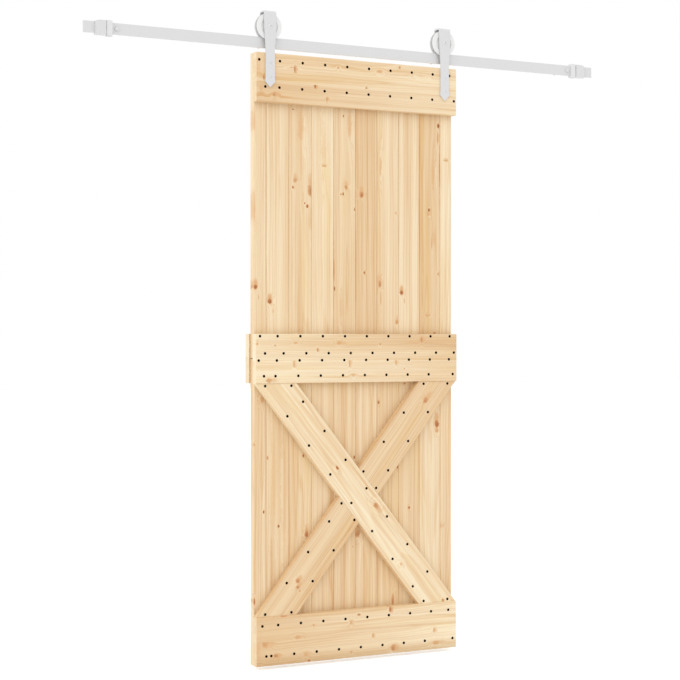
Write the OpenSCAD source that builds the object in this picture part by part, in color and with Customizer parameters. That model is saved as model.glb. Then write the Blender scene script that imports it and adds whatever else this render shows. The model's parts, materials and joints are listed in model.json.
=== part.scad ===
// Sliding barn door: a two-part plank leaf with a cross-braced lower half,
// hung from a flat track bar by two strap hangers with grooved ball-bearing wheels.
// X runs along the track, Y towards the wall and Z up.
// The origin is on the wall plane, at the middle of the line of wall fixings.

/* [Planks] */
// Visible width of a full tongue-and-groove plank
plank_cover = 87.5; // [75:0.5:100]
// Width of the two planks ripped to size at the leaf's edges
edge_plank_w = 48; // [40:1:80]
// Thickness of the planks
plank_t = 28; // [24:1:40]
// Height of the upper plank panel
upper_half_h = 1046; // [900:0.5:1200]
// Height of the lower plank panel
lower_half_h = 1051; // [950:1:1200]
// Open joint between the upper and lower panels
half_gap = 3; // [0.5:0.1:4]
// Open seam between neighbouring planks
seam_gap = 0.6; // [0.3:0.1:1.5]
// Bevel along the plank edges, which makes the V at each seam
seam_bevel = 2.5; // [1:0.5:4]
// Length of a plank's tongue
tongue_l = 8; // [5:0.5:12]
// Thickness of a plank's tongue
tongue_t = 7; // [5:0.5:9]
// Play between a tongue and the groove it sits in
tongue_clear = 0.4; // [0.2:0.1:0.8]

/* [Leaf rails] */
// Thickness of the top, mid and bottom rails
rail_t = 28; // [24:1:36]
// Height of the top rail
top_rail_h = 168; // [150:1:220]
// Height of the front mid rail and the back mid rail
mid_rail_h = 170; // [140:1:220]
// Height of the bottom rail
bottom_rail_h = 168; // [120:1:220]
// Thickness of the back mid rail that splices the two panels
back_rail_t = 28; // [24:1:36]
// How far the top and bottom rails stand past the planks at each end
rail_overhang = 2; // [0:0.5:6]
// How far the mid rails stand past the planks at each end
mid_overhang = 4; // [0:0.5:8]
// Eased edge along the front of rails and braces
edge_ease = 1.5; // [0.5:0.5:3]

/* [Braces] */
// Width of a brace, square to its length
brace_w = 120; // [90:1:150]
// Thickness of a brace
brace_t = 24; // [20:1:28]
// Saw gap where the cross braces butt against the long brace
brace_gap = 0.6; // [0.2:0.1:2]

/* [Wood screws] */
// Diameter of a screw head
screw_head_d = 10; // [6:0.5:10]
// Depth of the countersunk head
screw_head_h = 3; // [2:0.5:4]
// Diameter of a screw shank
screw_d = 4.4; // [3.5:0.1:5]
// Depth that a screw bites into the planks
screw_bite = 17; // [10:1:20]
// Play around a screw in its drilled hole
drill_clear = 0.05; // [0.03:0.01:0.1]
// Distance from a brace's edge to its rows of screws
brace_screw_edge = 21; // [15:1:28]
// Distance from a brace's end to its first screws
brace_screw_end = 9; // [7:1:14]
// Distance between pairs of screws along the long brace
long_brace_pitch = 133; // [120:1:140]
// Height between pairs of screws on the cross braces
cross_brace_pitch = 102; // [90:1:104]
// Drop of the upper row of screws below the top of the top rail
top_row_drop = 26; // [15:1:30]
// Rise of the lower row of screws above the bottom of the top rail
top_row_rise = 51; // [40:1:65]
// Drop of the first row of screws below the top of the mid rail
mid_row_drop = 8; // [7:1:20]
// Rise of the second row of screws above the joint between the panels
joint_row_rise = 18; // [9:1:28]
// Drop of the third row of screws below the joint between the panels
joint_row_drop = 6.5; // [6.5:0.5:20]
// Rise of the fourth row of screws above the bottom of the mid rail
mid_row_rise = 25; // [15:1:35]
// Drop of the upper row of screws below the top of the bottom rail
bottom_row_drop = 30; // [15:1:50]
// Rise of the lower row of screws above the bottom of the leaf
bottom_row_rise = 34; // [15:1:50]
// Rise of the upper row of back screws above the joint between the panels
back_row_rise = 45; // [40:1:60]
// Drop of the lower row of back screws below the joint between the panels
back_row_drop = 35; // [28:1:45]
// Distance from the leaf's edges to the outer back screws
back_row_inset = 26; // [15:1:34]

/* [Track] */
// Length of the track bar
track_l = 2030; // [1950:5:2200]
// Height of the track bar
track_h = 38; // [34:1:44]
// Thickness of the track bar
track_t = 6; // [5:0.5:8]
// Gap between the track bar and the top of the leaf
door_track_gap = 16; // [10:1:25]
// Gap between the back of the leaf and the wall
wall_gap = 10; // [6:1:30]
// Distance from the track's end to the outer wall fixing
outer_bolt_inset = 115; // [105:1:140]
// Distance from the middle to the inner wall fixing
inner_bolt_x = 350; // [250:5:450]

/* [Track bolts and standoffs] */
// Diameter of the standoffs
standoff_d = 15; // [15:0.5:16]
// Bevel on the ends of a standoff
standoff_bevel = 0.5; // [0.3:0.1:1]
// Diameter of the track bolts
track_bolt_d = 8; // [6:0.5:8]
// Depth that a track bolt reaches into its standoff
track_bolt_grip = 22; // [15:1:28]
// Width of a track bolt's hexagon head across its corners
track_bolt_head_d = 14; // [12:0.5:15]
// Height of a track bolt's hexagon head
track_bolt_head_h = 4; // [3:0.5:4.5]
// Diameter of the washers under the track bolt heads
track_washer_d = 15; // [14:0.5:16]
// Thickness of the washers under the track bolt heads
track_washer_t = 1.5; // [1:0.1:2]
// Diameter of the fixing hole in the back of a standoff
wall_hole_d = 10; // [6:0.5:11]
// Depth of the fixing hole in the back of a standoff
wall_hole_l = 30; // [20:1:35]
// Play around every machine bolt in its hole
bolt_clear = 0.1; // [0.05:0.05:0.25]

/* [End stops] */
// Length of track left bare outside each end stop
stop_inset = 40; // [20:1:60]
// Length of an end stop's clamp body
stop_l = 36; // [28:1:45]
// Wall of the end stop in front of the track
stop_front_wall = 8.5; // [7:0.5:9.5]
// Wall of the end stop behind the track
stop_back_wall = 5; // [4:0.5:8]
// Wall of the end stop above and below the track
stop_lip = 5; // [4:0.5:8]
// Play between an end stop and the track
stop_slip = 0.2; // [0.1:0.05:0.4]
// Length of the slope on the outer top edge of an end stop
stop_slope_l = 14; // [6:1:20]
// Drop of the slope on the outer top edge of an end stop
stop_slope_h = 3.5; // [2:0.5:4]
// Length of a bumper's head
bumper_l = 19; // [12:1:28]
// Length of the narrow neck between bumper and end stop
bumper_neck_l = 3; // [2:0.5:6]
// Wall of the bumper's head around the track
bumper_wall = 7; // [6:0.5:8.5]
// Wall of the bumper's neck around the track
bumper_neck_wall = 4; // [2.5:0.5:5]
// Rounding at the corners of a bumper's head
bumper_round = 3; // [1:0.5:5]
// Diameter of an end stop's set screw
set_screw_d = 6; // [5:0.5:6]

/* [Hanger straps] */
// Distance from the end of the top rail to the middle of a hanger
hanger_inset = 50; // [40:1:120]
// Thickness of the strap
strap_t = 5; // [4:0.5:6]
// Width of the strap where it folds over the wheel
strap_top_w = 45; // [38:1:50]
// Width of the strap in front of the leaf
strap_w = 34; // [30:1:38]
// Width of the pointed end at its widest
strap_flare_w = 38; // [34:1:46]
// Height over which the strap widens into its pointed end
strap_flare_h = 14; // [8:1:20]
// Height of the point itself
strap_point_h = 20; // [12:1:30]
// Reach of the strap below the top of the leaf
strap_drop = 119; // [112:1:150]
// Inner radius of the strap's bends
strap_bend_r = 6; // [4:0.5:10]
// Reach of the strap's back leg below the axle
back_leg_drop = 18; // [15:1:24]
// Gap between the wheel's flanges and the fold above them
fold_clear = 2.5; // [2:0.5:6]

/* [Hanger bolts] */
// Diameter of the hanger bolts
hanger_bolt_d = 8; // [6:0.5:10]
// Distance from the top of the leaf to the upper hanger bolt
hanger_bolt_upper = 36; // [30:1:45]
// Distance from the top of the leaf to the lower hanger bolt
hanger_bolt_lower = 84; // [70:1:90]
// Diameter of a hanger bolt's domed head
hanger_bolt_head_d = 13; // [12:0.5:18]
// Height of a hanger bolt's domed head
hanger_bolt_head_h = 2.5; // [2:0.5:4]
// Diameter of the washers behind the planks
hanger_washer_d = 24; // [20:1:30]
// Thickness of the washers behind the planks
hanger_washer_t = 1.6; // [1:0.1:2.5]
// Width of all nuts across their corners
nut_d = 15; // [13:0.5:18]
// Height of all nuts
nut_h = 6.5; // [5:0.5:8]
// Length of bolt that shows past a nut
nut_tail = 2.5; // [1:0.5:4]

/* [Wheels] */
// Radius on which a wheel runs along the track
tread_r = 36; // [30:1:42]
// Depth of the flanges beside the track
flange_depth = 10.5; // [5:0.5:11]
// Thickness of a flange
flange_t = 9.5; // [7:0.5:11]
// How far the groove opens on each side, from the tread out to the rim
groove_flare = 3.3; // [0:0.1:4]
// Bevel on the rim of a flange
flange_bevel = 1; // [0.5:0.5:1.5]
// Play between the track and each flange
groove_clear = 0.7; // [0.5:0.1:1.5]
// Gap between the tread and the top of the track
tread_clear = 0.2; // [0.1:0.05:0.4]
// Gap between a wheel's face and each leg of the strap
side_clear = 1.8; // [1.2:0.1:5]
// Depth of the ring sunk into each face of a wheel
face_ring_depth = 2.5; // [1:0.5:4]
// Wall left between the sunk ring and the bearing
hub_wall = 6; // [4:0.5:9]
// Wall left between the sunk ring and the tread
rim_wall = 5; // [3:0.5:8]

/* [Axles and bearings] */
// Diameter of an axle bolt
axle_d = 8; // [6:0.5:8]
// Diameter of an axle bolt's domed head
axle_head_d = 18; // [14:0.5:20]
// Height of an axle bolt's domed head
axle_head_h = 4; // [3:0.5:5]
// Outer diameter of a bearing
bearing_d = 22; // [21:0.5:26]
// Width of a bearing
bearing_w = 7; // [6:0.5:9]
// Diameter of a bearing ball
ball_d = 4; // [3:0.1:4.4]
// Number of balls in a bearing
ball_count = 8; // [6:1:9]
// Running play between balls and races
ball_play = 0.05; // [0.02:0.01:0.08]
// Play between the bearing and the parts it is fitted to
race_clear = 0.02; // [0.01:0.01:0.05]
// Wall of each race at its edges
race_wall = 2.1; // [1.8:0.1:2.4]
// Lip that keeps the bearing in the wheel
bearing_lip = 2; // [1:0.5:2.5]
// Wall of the spacers beside the bearing
spacer_wall = 2; // [1.5:0.1:2.1]

/* [Hidden] */
$fn = 64;
// Overlap that lets a cut pass cleanly through a face
cut = 1;
full_planks = 8;
plank_count = full_planks + 2;
across_flats = cos(30);

// Widths of the leaf
panel_w = full_planks * plank_cover + 2 * edge_plank_w;
door_w = panel_w + 2 * rail_overhang;
mid_rail_l = panel_w + 2 * mid_overhang;

// Depths, counted from the wall plane towards the front
panel_back_y = -wall_gap - back_rail_t;
panel_front_y = panel_back_y - plank_t;
front_y = panel_front_y - rail_t;
brace_y = panel_front_y - brace_t;
groove_w = track_t + 2 * groove_clear;
wheel_w = groove_w + 2 * flange_t;
fold_w = wheel_w + 2 * side_clear;
track_y = front_y + fold_w / 2;
track_front_y = track_y - track_t / 2;
track_back_y = track_y + track_t / 2;

// Heights, counted from the line of wall fixings
door_h = lower_half_h + half_gap + upper_half_h;
door_top_z = -track_h / 2 - door_track_gap;
door_bottom_z = door_top_z - door_h;
joint_z = door_bottom_z + lower_half_h + half_gap / 2;
top_rail_z = door_top_z - top_rail_h;
mid_rail_z = joint_z - mid_rail_h / 2;
mid_rail_top_z = mid_rail_z + mid_rail_h;
bottom_rail_top_z = door_bottom_z + bottom_rail_h;
axle_z = track_h / 2 + tread_clear + tread_r;
flange_r = tread_r + flange_depth;
fold_z = axle_z + flange_r + fold_clear;
point_z = door_top_z - strap_drop;

// Places along the track
hanger_x = door_w / 2 - hanger_inset;
outer_bolt_x = track_l / 2 - outer_bolt_inset;
bolt_xs = [-outer_bolt_x, -inner_bolt_x, inner_bolt_x, outer_bolt_x];
stop_x = track_l / 2 - stop_inset - stop_l;

// Braces: run is the sideways reach of a brace's edge between its two level cuts
brace_h = mid_rail_z - bottom_rail_top_z;
brace_mid_z = (mid_rail_z + bottom_rail_top_z) / 2;
brace_run = brace_h * (door_w * brace_h - brace_w * sqrt(brace_h ^ 2 + door_w ^ 2 - brace_w ^ 2))
    / (brace_h ^ 2 - brace_w ^ 2);
brace_level_w = door_w - brace_run;
brace_angle = atan2(brace_h, brace_run);

// Bearing radii
race_in_r = axle_d / 2 + race_clear;
ball_ring_r = (race_in_r + bearing_d / 2) / 2;
seat_r = bearing_d / 2 + race_clear;

// Rows of screws: height, sideways shift from the plank centres, inset at the left end, inset at the right end
top_rows = [
    [door_top_z - top_row_drop, -5, 10, 28],
    [top_rail_z + top_row_rise, -7, 33, 9]
];
mid_rows = [
    [mid_rail_top_z - mid_row_drop, -14, 13, 27],
    [joint_z + joint_row_rise, 9, 32, 9],
    [joint_z - joint_row_drop, -17, 8, 30],
    [mid_rail_z + mid_row_rise, -22, 28, 14]
];
bottom_rows = [
    [bottom_rail_top_z - bottom_row_drop, -12, 22, 33],
    [door_bottom_z + bottom_row_rise, -38, 37, 15]
];
back_rows = [
    [joint_z + back_row_rise, 0, back_row_inset, back_row_inset],
    [joint_z - back_row_drop, 0, back_row_inset, back_row_inset]
];

// Middle of a plank, and its left and right bounds, with planks counted from the left
function plank_left(k) = k == 0 ? -panel_w / 2 : -panel_w / 2 + edge_plank_w + (k - 1) * plank_cover;
function plank_right(k) = k == plank_count - 1 ? panel_w / 2 : plank_left(k + 1);
function plank_mid(k) = (plank_left(k) + plank_right(k)) / 2;

// One row of screws: one screw in each plank
function row_points(row) = [
    for (k = [0 : plank_count - 1])
        [k == 0 ? -door_w / 2 + row[2]
            : k == plank_count - 1 ? door_w / 2 - row[3]
            : plank_mid(k) + row[1],
        row[0]]
];
function rows_points(rows) = [for (row = rows) each row_points(row)];

// Middle of the rising cross brace at a height above the crossing
function cross_x(rise) = rise * brace_run / brace_h;
// Sideways distance from a brace's middle line to a row of screws
brace_row_x = brace_level_w / 2 - brace_screw_edge / sin(brace_angle);
brace_end_rise = brace_h / 2 - brace_screw_end;
// Point on the long brace at a distance along it and across it
function long_point(along, across) = [
    along * cos(brace_angle) + across * sin(brace_angle),
    brace_mid_z - along * sin(brace_angle) + across * cos(brace_angle)
];
long_brace_points = concat(
    [for (i = [-3 : 3], side = [-1, 1]) long_point(i * long_brace_pitch, side * (brace_w / 2 - brace_screw_edge))],
    [for (end = [-1, 1], side = [-1, 1])
        [cross_x(end * brace_end_rise) * -1 + side * brace_row_x, brace_mid_z + end * brace_end_rise]]
);
// Screws of the upper cross brace, counted from the crossing, with a single one beside the long brace
cross_single_rise = 24;
cross_brace_rises = concat(
    [for (i = [0 : 3], side = [-1, 1])
        [cross_x(brace_end_rise - i * cross_brace_pitch) + side * brace_row_x,
        brace_end_rise - i * cross_brace_pitch]],
    [[cross_x(cross_single_rise) + brace_row_x, cross_single_rise]]
);
cross_brace_points = [
    for (turn = [1, -1], p = cross_brace_rises) [turn * p[0], brace_mid_z + turn * p[1]]
];
rail_points = concat(rows_points(top_rows), rows_points(mid_rows), rows_points(bottom_rows));
brace_points = concat(long_brace_points, cross_brace_points);
hanger_points = [
    for (x = [-hanger_x, hanger_x], drop = [hanger_bolt_upper, hanger_bolt_lower]) [x, door_top_z - drop]
];

// Points of a list that fall inside a rectangle, with a margin around it
function points_in(points, x0, x1, z0, z1, margin) = [
    for (p = points)
        if (p[0] > x0 - margin && p[0] < x1 + margin && p[1] > z0 - margin && p[1] < z1 + margin) p
];

// Colours
pine = "#edd3aa";
pine_warm = "#e9c898";
white_paint = "#e2e2e3";
white_rubber = "#eeeeee";
black_screw = "#2a211b";
bright_steel = "#b9bcc0";

// Shared shapes

// Places children on a line through the leaf that points from the front towards the wall
module along_y(x, y, z) {
    translate([x, y, z]) rotate([-90, 0, 0]) children();
}

// Extrudes a front outline drawn in X and Z, from y0 back to y1
module front_outline(y0, y1) {
    translate([0, y1, 0]) rotate([90, 0, 0]) linear_extrude(y1 - y0) children();
}

// Extrudes a side outline drawn in Y and Z, along X
module side_outline(length) {
    translate([-length / 2, 0, 0]) rotate([90, 0, 90]) linear_extrude(length) children();
}

// Domed head that rises from z = 0 towards -z
module dome_head(d, h) {
    ball_r = (d * d / 4 + h * h) / (2 * h);
    intersection() {
        translate([0, 0, ball_r - h]) sphere(ball_r);
        translate([-d, -d, -2 * h]) cube([2 * d, 2 * d, 2 * h]);
    }
}

// Machine bolt: plain hexagon head above z = 0, shank below
module hex_bolt(d, l, head_d, head_h) {
    translate([0, 0, -head_h]) cylinder(d = head_d, h = head_h, $fn = 6);
    cylinder(d = d, h = l);
}

// Machine bolt: domed head with a hexagon socket above z = 0, shank below
module dome_bolt(d, l, head_d, head_h) {
    socket_d = head_d * 0.36;
    difference() {
        union() {
            dome_head(head_d, head_h);
            cylinder(d = d, h = l);
        }
        translate([0, 0, -head_h - cut]) cylinder(d = socket_d, h = head_h * 0.45 + cut, $fn = 6);
    }
}

module washer(d, hole_d, t) {
    difference() {
        cylinder(d = d, h = t);
        translate([0, 0, -cut]) cylinder(d = hole_d, h = t + 2 * cut);
    }
}

module hex_nut(bolt_d) {
    difference() {
        cylinder(d = nut_d, h = nut_h, $fn = 6);
        translate([0, 0, -cut]) cylinder(d = bolt_d + bolt_clear, h = nut_h + 2 * cut);
    }
}

// Countersunk wood screw, or with play the hole drilled for it
module wood_screw(l, play) {
    cylinder(d1 = screw_head_d + 2 * play, d2 = screw_d + 2 * play, h = screw_head_h);
    translate([0, 0, screw_head_h]) cylinder(d = screw_d + 2 * play, h = l - screw_head_h - screw_d);
    translate([0, 0, l - screw_d]) cylinder(d1 = screw_d + 2 * play, d2 = screw_d / 4 + 2 * play, h = screw_d + play);
}

// Screws driven from the front face at y0
module front_screws(points, y0, l, play = 0) {
    for (p = points) along_y(p[0], y0, p[1]) wood_screw(l, play);
}

// Screws driven from behind, through the back mid rail
module back_screws(points, play = 0) {
    for (p = points) translate([p[0], -wall_gap, p[1]]) rotate([90, 0, 0])
        wood_screw(back_rail_t + screw_bite, play);
}

module hanger_holes(points) {
    for (p = points) along_y(p[0], front_y - strap_t - cut, p[1])
        cylinder(d = hanger_bolt_d + 2 * bolt_clear, h = -front_y + strap_t);
}

// Track and its fixings

module track_bar() {
    color(white_paint) difference() {
        translate([-track_l / 2, track_front_y, -track_h / 2]) cube([track_l, track_t, track_h]);
        for (x = bolt_xs) along_y(x, track_front_y - cut, 0)
            cylinder(d = track_bolt_d + 2 * bolt_clear, h = track_t + 2 * cut);
    }
}

module standoff() {
    l = -track_back_y;
    difference() {
        rotate_extrude() polygon([
            [0, 0], [standoff_d / 2 - standoff_bevel, 0], [standoff_d / 2, standoff_bevel],
            [standoff_d / 2, l - standoff_bevel], [standoff_d / 2 - standoff_bevel, l], [0, l]
        ]);
        translate([0, 0, -cut]) cylinder(d = track_bolt_d + 2 * bolt_clear, h = track_bolt_grip + 2 * cut);
        translate([0, 0, l - wall_hole_l]) cylinder(d = wall_hole_d, h = wall_hole_l + cut);
    }
}

module standoffs() {
    color(white_paint) for (x = bolt_xs) along_y(x, track_back_y, 0) standoff();
}

module track_bolts() {
    color(white_paint) for (x = bolt_xs) along_y(x, track_front_y - track_washer_t, 0)
        hex_bolt(track_bolt_d, track_washer_t + track_t + track_bolt_grip, track_bolt_head_d, track_bolt_head_h);
}

module track_washers() {
    color(white_paint) for (x = bolt_xs) along_y(x, track_front_y - track_washer_t, 0)
        washer(track_washer_d, track_bolt_d + 2 * bolt_clear, track_washer_t);
}

// Opening for the track through anything that is slipped onto it, from x0 to x1
module track_slot(x0, x1) {
    translate([x0, track_front_y - stop_slip, -track_h / 2 - stop_slip])
        cube([x1 - x0, track_t + 2 * stop_slip, track_h + 2 * stop_slip]);
}

// Clamp sleeve on the right end of the track, with a slope on its outer top edge
module end_stop() {
    y0 = track_front_y - stop_slip - stop_front_wall;
    y1 = track_back_y + stop_slip + stop_back_wall;
    z1 = track_h / 2 + stop_slip + stop_lip;
    color(white_paint) difference() {
        front_outline(y0, y1) polygon([
            [stop_x, -z1], [stop_x + stop_l, -z1], [stop_x + stop_l, z1 - stop_slope_h],
            [stop_x + stop_l - stop_slope_l, z1], [stop_x, z1]
        ]);
        track_slot(stop_x - cut, stop_x + stop_l + cut);
        translate([stop_x + stop_l / 2, track_y, -z1 - cut])
            cylinder(d = set_screw_d + 2 * bolt_clear, h = stop_lip + 2 * cut);
    }
}

// Rectangle in Y and Z around the track, with a wall and rounded corners
module collar_outline(wall, round_r) {
    w = track_t + 2 * stop_slip + 2 * wall;
    h = track_h + 2 * stop_slip + 2 * wall;
    translate([track_y, 0]) {
        square([w - 2 * round_r, h], center = true);
        square([w, h - 2 * round_r], center = true);
        for (a = [-1, 1], b = [-1, 1]) translate([a * (w / 2 - round_r), b * (h / 2 - round_r)]) circle(round_r);
    }
}

// Rubber bumper on the inner side of the right end stop
module bumper() {
    neck_x = stop_x - bumper_neck_l;
    color(white_rubber) difference() {
        union() {
            translate([neck_x - bumper_l / 2, 0, 0]) side_outline(bumper_l) collar_outline(bumper_wall, bumper_round);
            translate([neck_x + bumper_neck_l / 2, 0, 0]) side_outline(bumper_neck_l)
                collar_outline(bumper_neck_wall, bumper_round / 2);
        }
        track_slot(neck_x - bumper_l - cut, stop_x + cut);
    }
}

module end_stop_right() { end_stop(); }
module end_stop_left() { mirror([1, 0, 0]) end_stop(); }
module bumper_right() { bumper(); }
module bumper_left() { mirror([1, 0, 0]) bumper(); }

// Set screws that clamp the end stops from below, each with a hexagon socket
module stop_set_screws() {
    l = stop_lip + stop_slip;
    color(white_paint) for (side = [-1, 1])
        translate([side * (stop_x + stop_l / 2), track_y, -track_h / 2 - l]) difference() {
            cylinder(d = set_screw_d, h = l);
            translate([0, 0, -cut]) cylinder(d = set_screw_d / 2, h = l / 2 + cut, $fn = 6);
        }
}

// Planks

// Plank section in X and Y, with bevelled edges, a groove on its left and a tongue on its right
module plank_section(k) {
    first = k == 0;
    last = k == plank_count - 1;
    x0 = plank_left(k) + (first ? 0 : seam_gap / 2);
    x1 = plank_right(k) - (last ? 0 : seam_gap / 2);
    mid_y = (panel_front_y + panel_back_y) / 2;
    b = seam_bevel;
    difference() {
        union() {
            polygon([
                [x0 + b, panel_front_y], [x1 - b, panel_front_y], [x1, panel_front_y + b],
                [x1, panel_back_y - b], [x1 - b, panel_back_y], [x0 + b, panel_back_y],
                [x0, panel_back_y - b], [x0, panel_front_y + b]
            ]);
            if (!last) translate([x1 - cut, mid_y - tongue_t / 2]) square([tongue_l + cut, tongue_t]);
        }
        if (!first) translate([x0 - cut, mid_y - tongue_t / 2 - tongue_clear])
            square([tongue_l - seam_gap + tongue_clear + cut, tongue_t + 2 * tongue_clear]);
    }
}

// Plank number k between two heights, drilled for the screws and bolts that reach it
module plank(k, z0, z1) {
    x0 = plank_left(k);
    x1 = plank_right(k) + tongue_l;
    tone = [0, 0.5, 0.2, 0.8, 0.35][k * 3 % 5];
    color([0.925 - 0.03 * tone, 0.83 - 0.05 * tone, 0.675 - 0.07 * tone]) difference() {
        translate([0, 0, z0]) linear_extrude(z1 - z0) plank_section(k);
        front_screws(points_in(rail_points, x0, x1, z0, z1, screw_d), front_y, rail_t + screw_bite, drill_clear);
        front_screws(points_in(brace_points, x0, x1, z0, z1, screw_d), brace_y, brace_t + screw_bite, drill_clear);
        back_screws(points_in(rows_points(back_rows), x0, x1, z0, z1, screw_d), drill_clear);
        hanger_holes(points_in(hanger_points, x0, x1, z0, z1, hanger_bolt_d));
    }
}

module upper_plank(k) { plank(k, joint_z + half_gap / 2, door_top_z); }
module lower_plank(k) { plank(k, door_bottom_z, joint_z - half_gap / 2); }

// Rails

// Level board with its front edges eased, from y0 back to y1 and from z0 up to z1
module level_board(l, y0, y1, z0, z1) {
    e = edge_ease;
    side_outline(l) polygon([[y0 + e, z0], [y1, z0], [y1, z1], [y0 + e, z1], [y0, z1 - e], [y0, z0 + e]]);
}

module top_rail() {
    color(pine_warm) difference() {
        level_board(door_w, front_y, panel_front_y, top_rail_z, door_top_z);
        front_screws(rows_points(top_rows), front_y, rail_t + screw_bite, drill_clear);
        hanger_holes(hanger_points);
    }
}

module mid_rail() {
    color(pine_warm) difference() {
        level_board(mid_rail_l, front_y, panel_front_y, mid_rail_z, mid_rail_top_z);
        front_screws(rows_points(mid_rows), front_y, rail_t + screw_bite, drill_clear);
    }
}

module bottom_rail() {
    color(pine_warm) difference() {
        level_board(door_w, front_y, panel_front_y, door_bottom_z, bottom_rail_top_z);
        front_screws(rows_points(bottom_rows), front_y, rail_t + screw_bite, drill_clear);
    }
}

module back_mid_rail() {
    color(pine_warm) difference() {
        mirror([0, 1, 0]) level_board(mid_rail_l, wall_gap, -panel_back_y, mid_rail_z, mid_rail_top_z);
        back_screws(rows_points(back_rows), drill_clear);
    }
}

// Braces

// Falling brace outline in X and Z, cut level at both ends
module falling_brace_outline() {
    half = door_w / 2;
    polygon([
        [-half, mid_rail_z], [-half + brace_level_w, mid_rail_z],
        [half, bottom_rail_top_z], [half - brace_level_w, bottom_rail_top_z]
    ]);
}

module long_brace() {
    color(pine_warm) difference() {
        front_outline(brace_y, panel_front_y) falling_brace_outline();
        front_screws(long_brace_points, brace_y, brace_t + screw_bite, drill_clear);
    }
}

// The part of the rising brace above the long brace
module upper_cross_brace() {
    reach = door_w + brace_h;
    color(pine_warm) difference() {
        front_outline(brace_y, panel_front_y) intersection() {
            mirror([1, 0]) falling_brace_outline();
            translate([0, brace_mid_z]) rotate(-brace_angle)
                translate([-reach, brace_w / 2 + brace_gap]) square([2 * reach, reach]);
        }
        front_screws(cross_brace_points, brace_y, brace_t + screw_bite, drill_clear);
    }
}

// The part below it is the same piece, turned half round about the crossing
module lower_cross_brace() {
    translate([0, 0, 2 * brace_mid_z]) mirror([0, 0, 1]) mirror([1, 0, 0]) upper_cross_brace();
}

// Screws

module top_rail_screws() {
    color(black_screw) front_screws(rows_points(top_rows), front_y, rail_t + screw_bite);
}

module mid_rail_screws() {
    color(black_screw) front_screws(rows_points(mid_rows), front_y, rail_t + screw_bite);
}

module bottom_rail_screws() {
    color(black_screw) front_screws(rows_points(bottom_rows), front_y, rail_t + screw_bite);
}

module brace_screws() {
    color(black_screw) front_screws(brace_points, brace_y, brace_t + screw_bite);
}

module back_rail_screws() {
    color(black_screw) back_screws(rows_points(back_rows));
}

// Hangers

// Arch in Y and Z with two rounded top corners, from below the point up to z1
module arch_outline(y0, y1, z1, r) {
    z0 = point_z - cut;
    translate([y0, z0]) square([y1 - y0, z1 - r - z0]);
    translate([y0 + r, z0]) square([y1 - y0 - 2 * r, z1 - z0]);
    for (y = [y0 + r, y1 - r]) translate([y, z1 - r]) circle(r);
}

// Strap seen from the front: wide over the wheel, slim below it, with a flared point
module strap_outline() {
    flare_z = point_z + strap_point_h;
    half = [
        [strap_top_w / 2, fold_z + strap_t + cut], [strap_top_w / 2, axle_z], [strap_w / 2, -track_h / 2],
        [strap_w / 2, flare_z + strap_flare_h], [strap_flare_w / 2, flare_z]
    ];
    left = [for (i = [len(half) - 1 : -1 : 0]) [-half[i][0], half[i][1]]];
    polygon(concat(half, [[0, point_z]], left));
}

module hanger_strap(x) {
    y0 = front_y - strap_t;
    y1 = front_y + fold_w + strap_t;
    color(white_paint) difference() {
        intersection() {
            translate([x, 0, 0]) side_outline(strap_top_w) difference() {
                arch_outline(y0, y1, fold_z + strap_t, strap_bend_r + strap_t);
                arch_outline(front_y, front_y + fold_w, fold_z, strap_bend_r);
                translate([front_y + fold_w - cut, point_z - 2 * cut])
                    square([strap_t + 2 * cut, axle_z - back_leg_drop - point_z + 2 * cut]);
                translate([front_y, point_z - 2 * cut]) square([fold_w, 2 * cut]);
            }
            translate([x, 0, 0]) front_outline(y0 - cut, y1 + cut) strap_outline();
        }
        along_y(x, y0 - cut, axle_z) cylinder(d = axle_d + 2 * bolt_clear, h = y1 - y0 + 2 * cut);
        hanger_holes(hanger_points);
    }
}

module hanger_strap_left() { hanger_strap(-hanger_x); }
module hanger_strap_right() { hanger_strap(hanger_x); }

module hanger_bolts() {
    l = strap_t - front_y + panel_back_y + hanger_washer_t + nut_h + nut_tail;
    color(white_paint) for (p = hanger_points) along_y(p[0], front_y - strap_t, p[1])
        dome_bolt(hanger_bolt_d, l, hanger_bolt_head_d, hanger_bolt_head_h);
}

module hanger_washers() {
    color(white_paint) for (p = hanger_points) along_y(p[0], panel_back_y, p[1])
        washer(hanger_washer_d, hanger_bolt_d + 2 * bolt_clear, hanger_washer_t);
}

module hanger_nuts() {
    color(white_paint) for (p = hanger_points) along_y(p[0], panel_back_y + hanger_washer_t, p[1])
        hex_nut(hanger_bolt_d);
}

module axle_bolts() {
    l = fold_w + 2 * strap_t + nut_h + nut_tail;
    color(white_paint) for (x = [-hanger_x, hanger_x]) along_y(x, front_y - strap_t, axle_z)
        dome_bolt(axle_d, l, axle_head_d, axle_head_h);
}

module axle_nuts() {
    color(white_paint) for (x = [-hanger_x, hanger_x]) along_y(x, front_y + fold_w + strap_t, axle_z)
        hex_nut(axle_d);
}

// Spacers that centre the bearing between the legs of the strap
module axle_spacers() {
    l = (fold_w - bearing_w) / 2;
    color(bright_steel) for (x = [-hanger_x, hanger_x], y = [front_y, track_y + bearing_w / 2])
        along_y(x, y, axle_z) washer(axle_d + 2 * spacer_wall, axle_d + 2 * bolt_clear, l);
}

// Bearings

// Ring between two radii with a ball groove, centred on its own middle plane
module race(r0, r1) {
    rotate_extrude() difference() {
        translate([r0, -bearing_w / 2]) square([r1 - r0, bearing_w]);
        translate([ball_ring_r, 0]) circle(ball_d / 2 + ball_play);
    }
}

module bearing_inner_races() {
    color(bright_steel) for (x = [-hanger_x, hanger_x]) along_y(x, track_y, axle_z)
        race(race_in_r, race_in_r + race_wall);
}

module bearing_outer_race(x) {
    color(bright_steel) along_y(x, track_y, axle_z) race(bearing_d / 2 - race_wall, bearing_d / 2);
}

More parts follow.
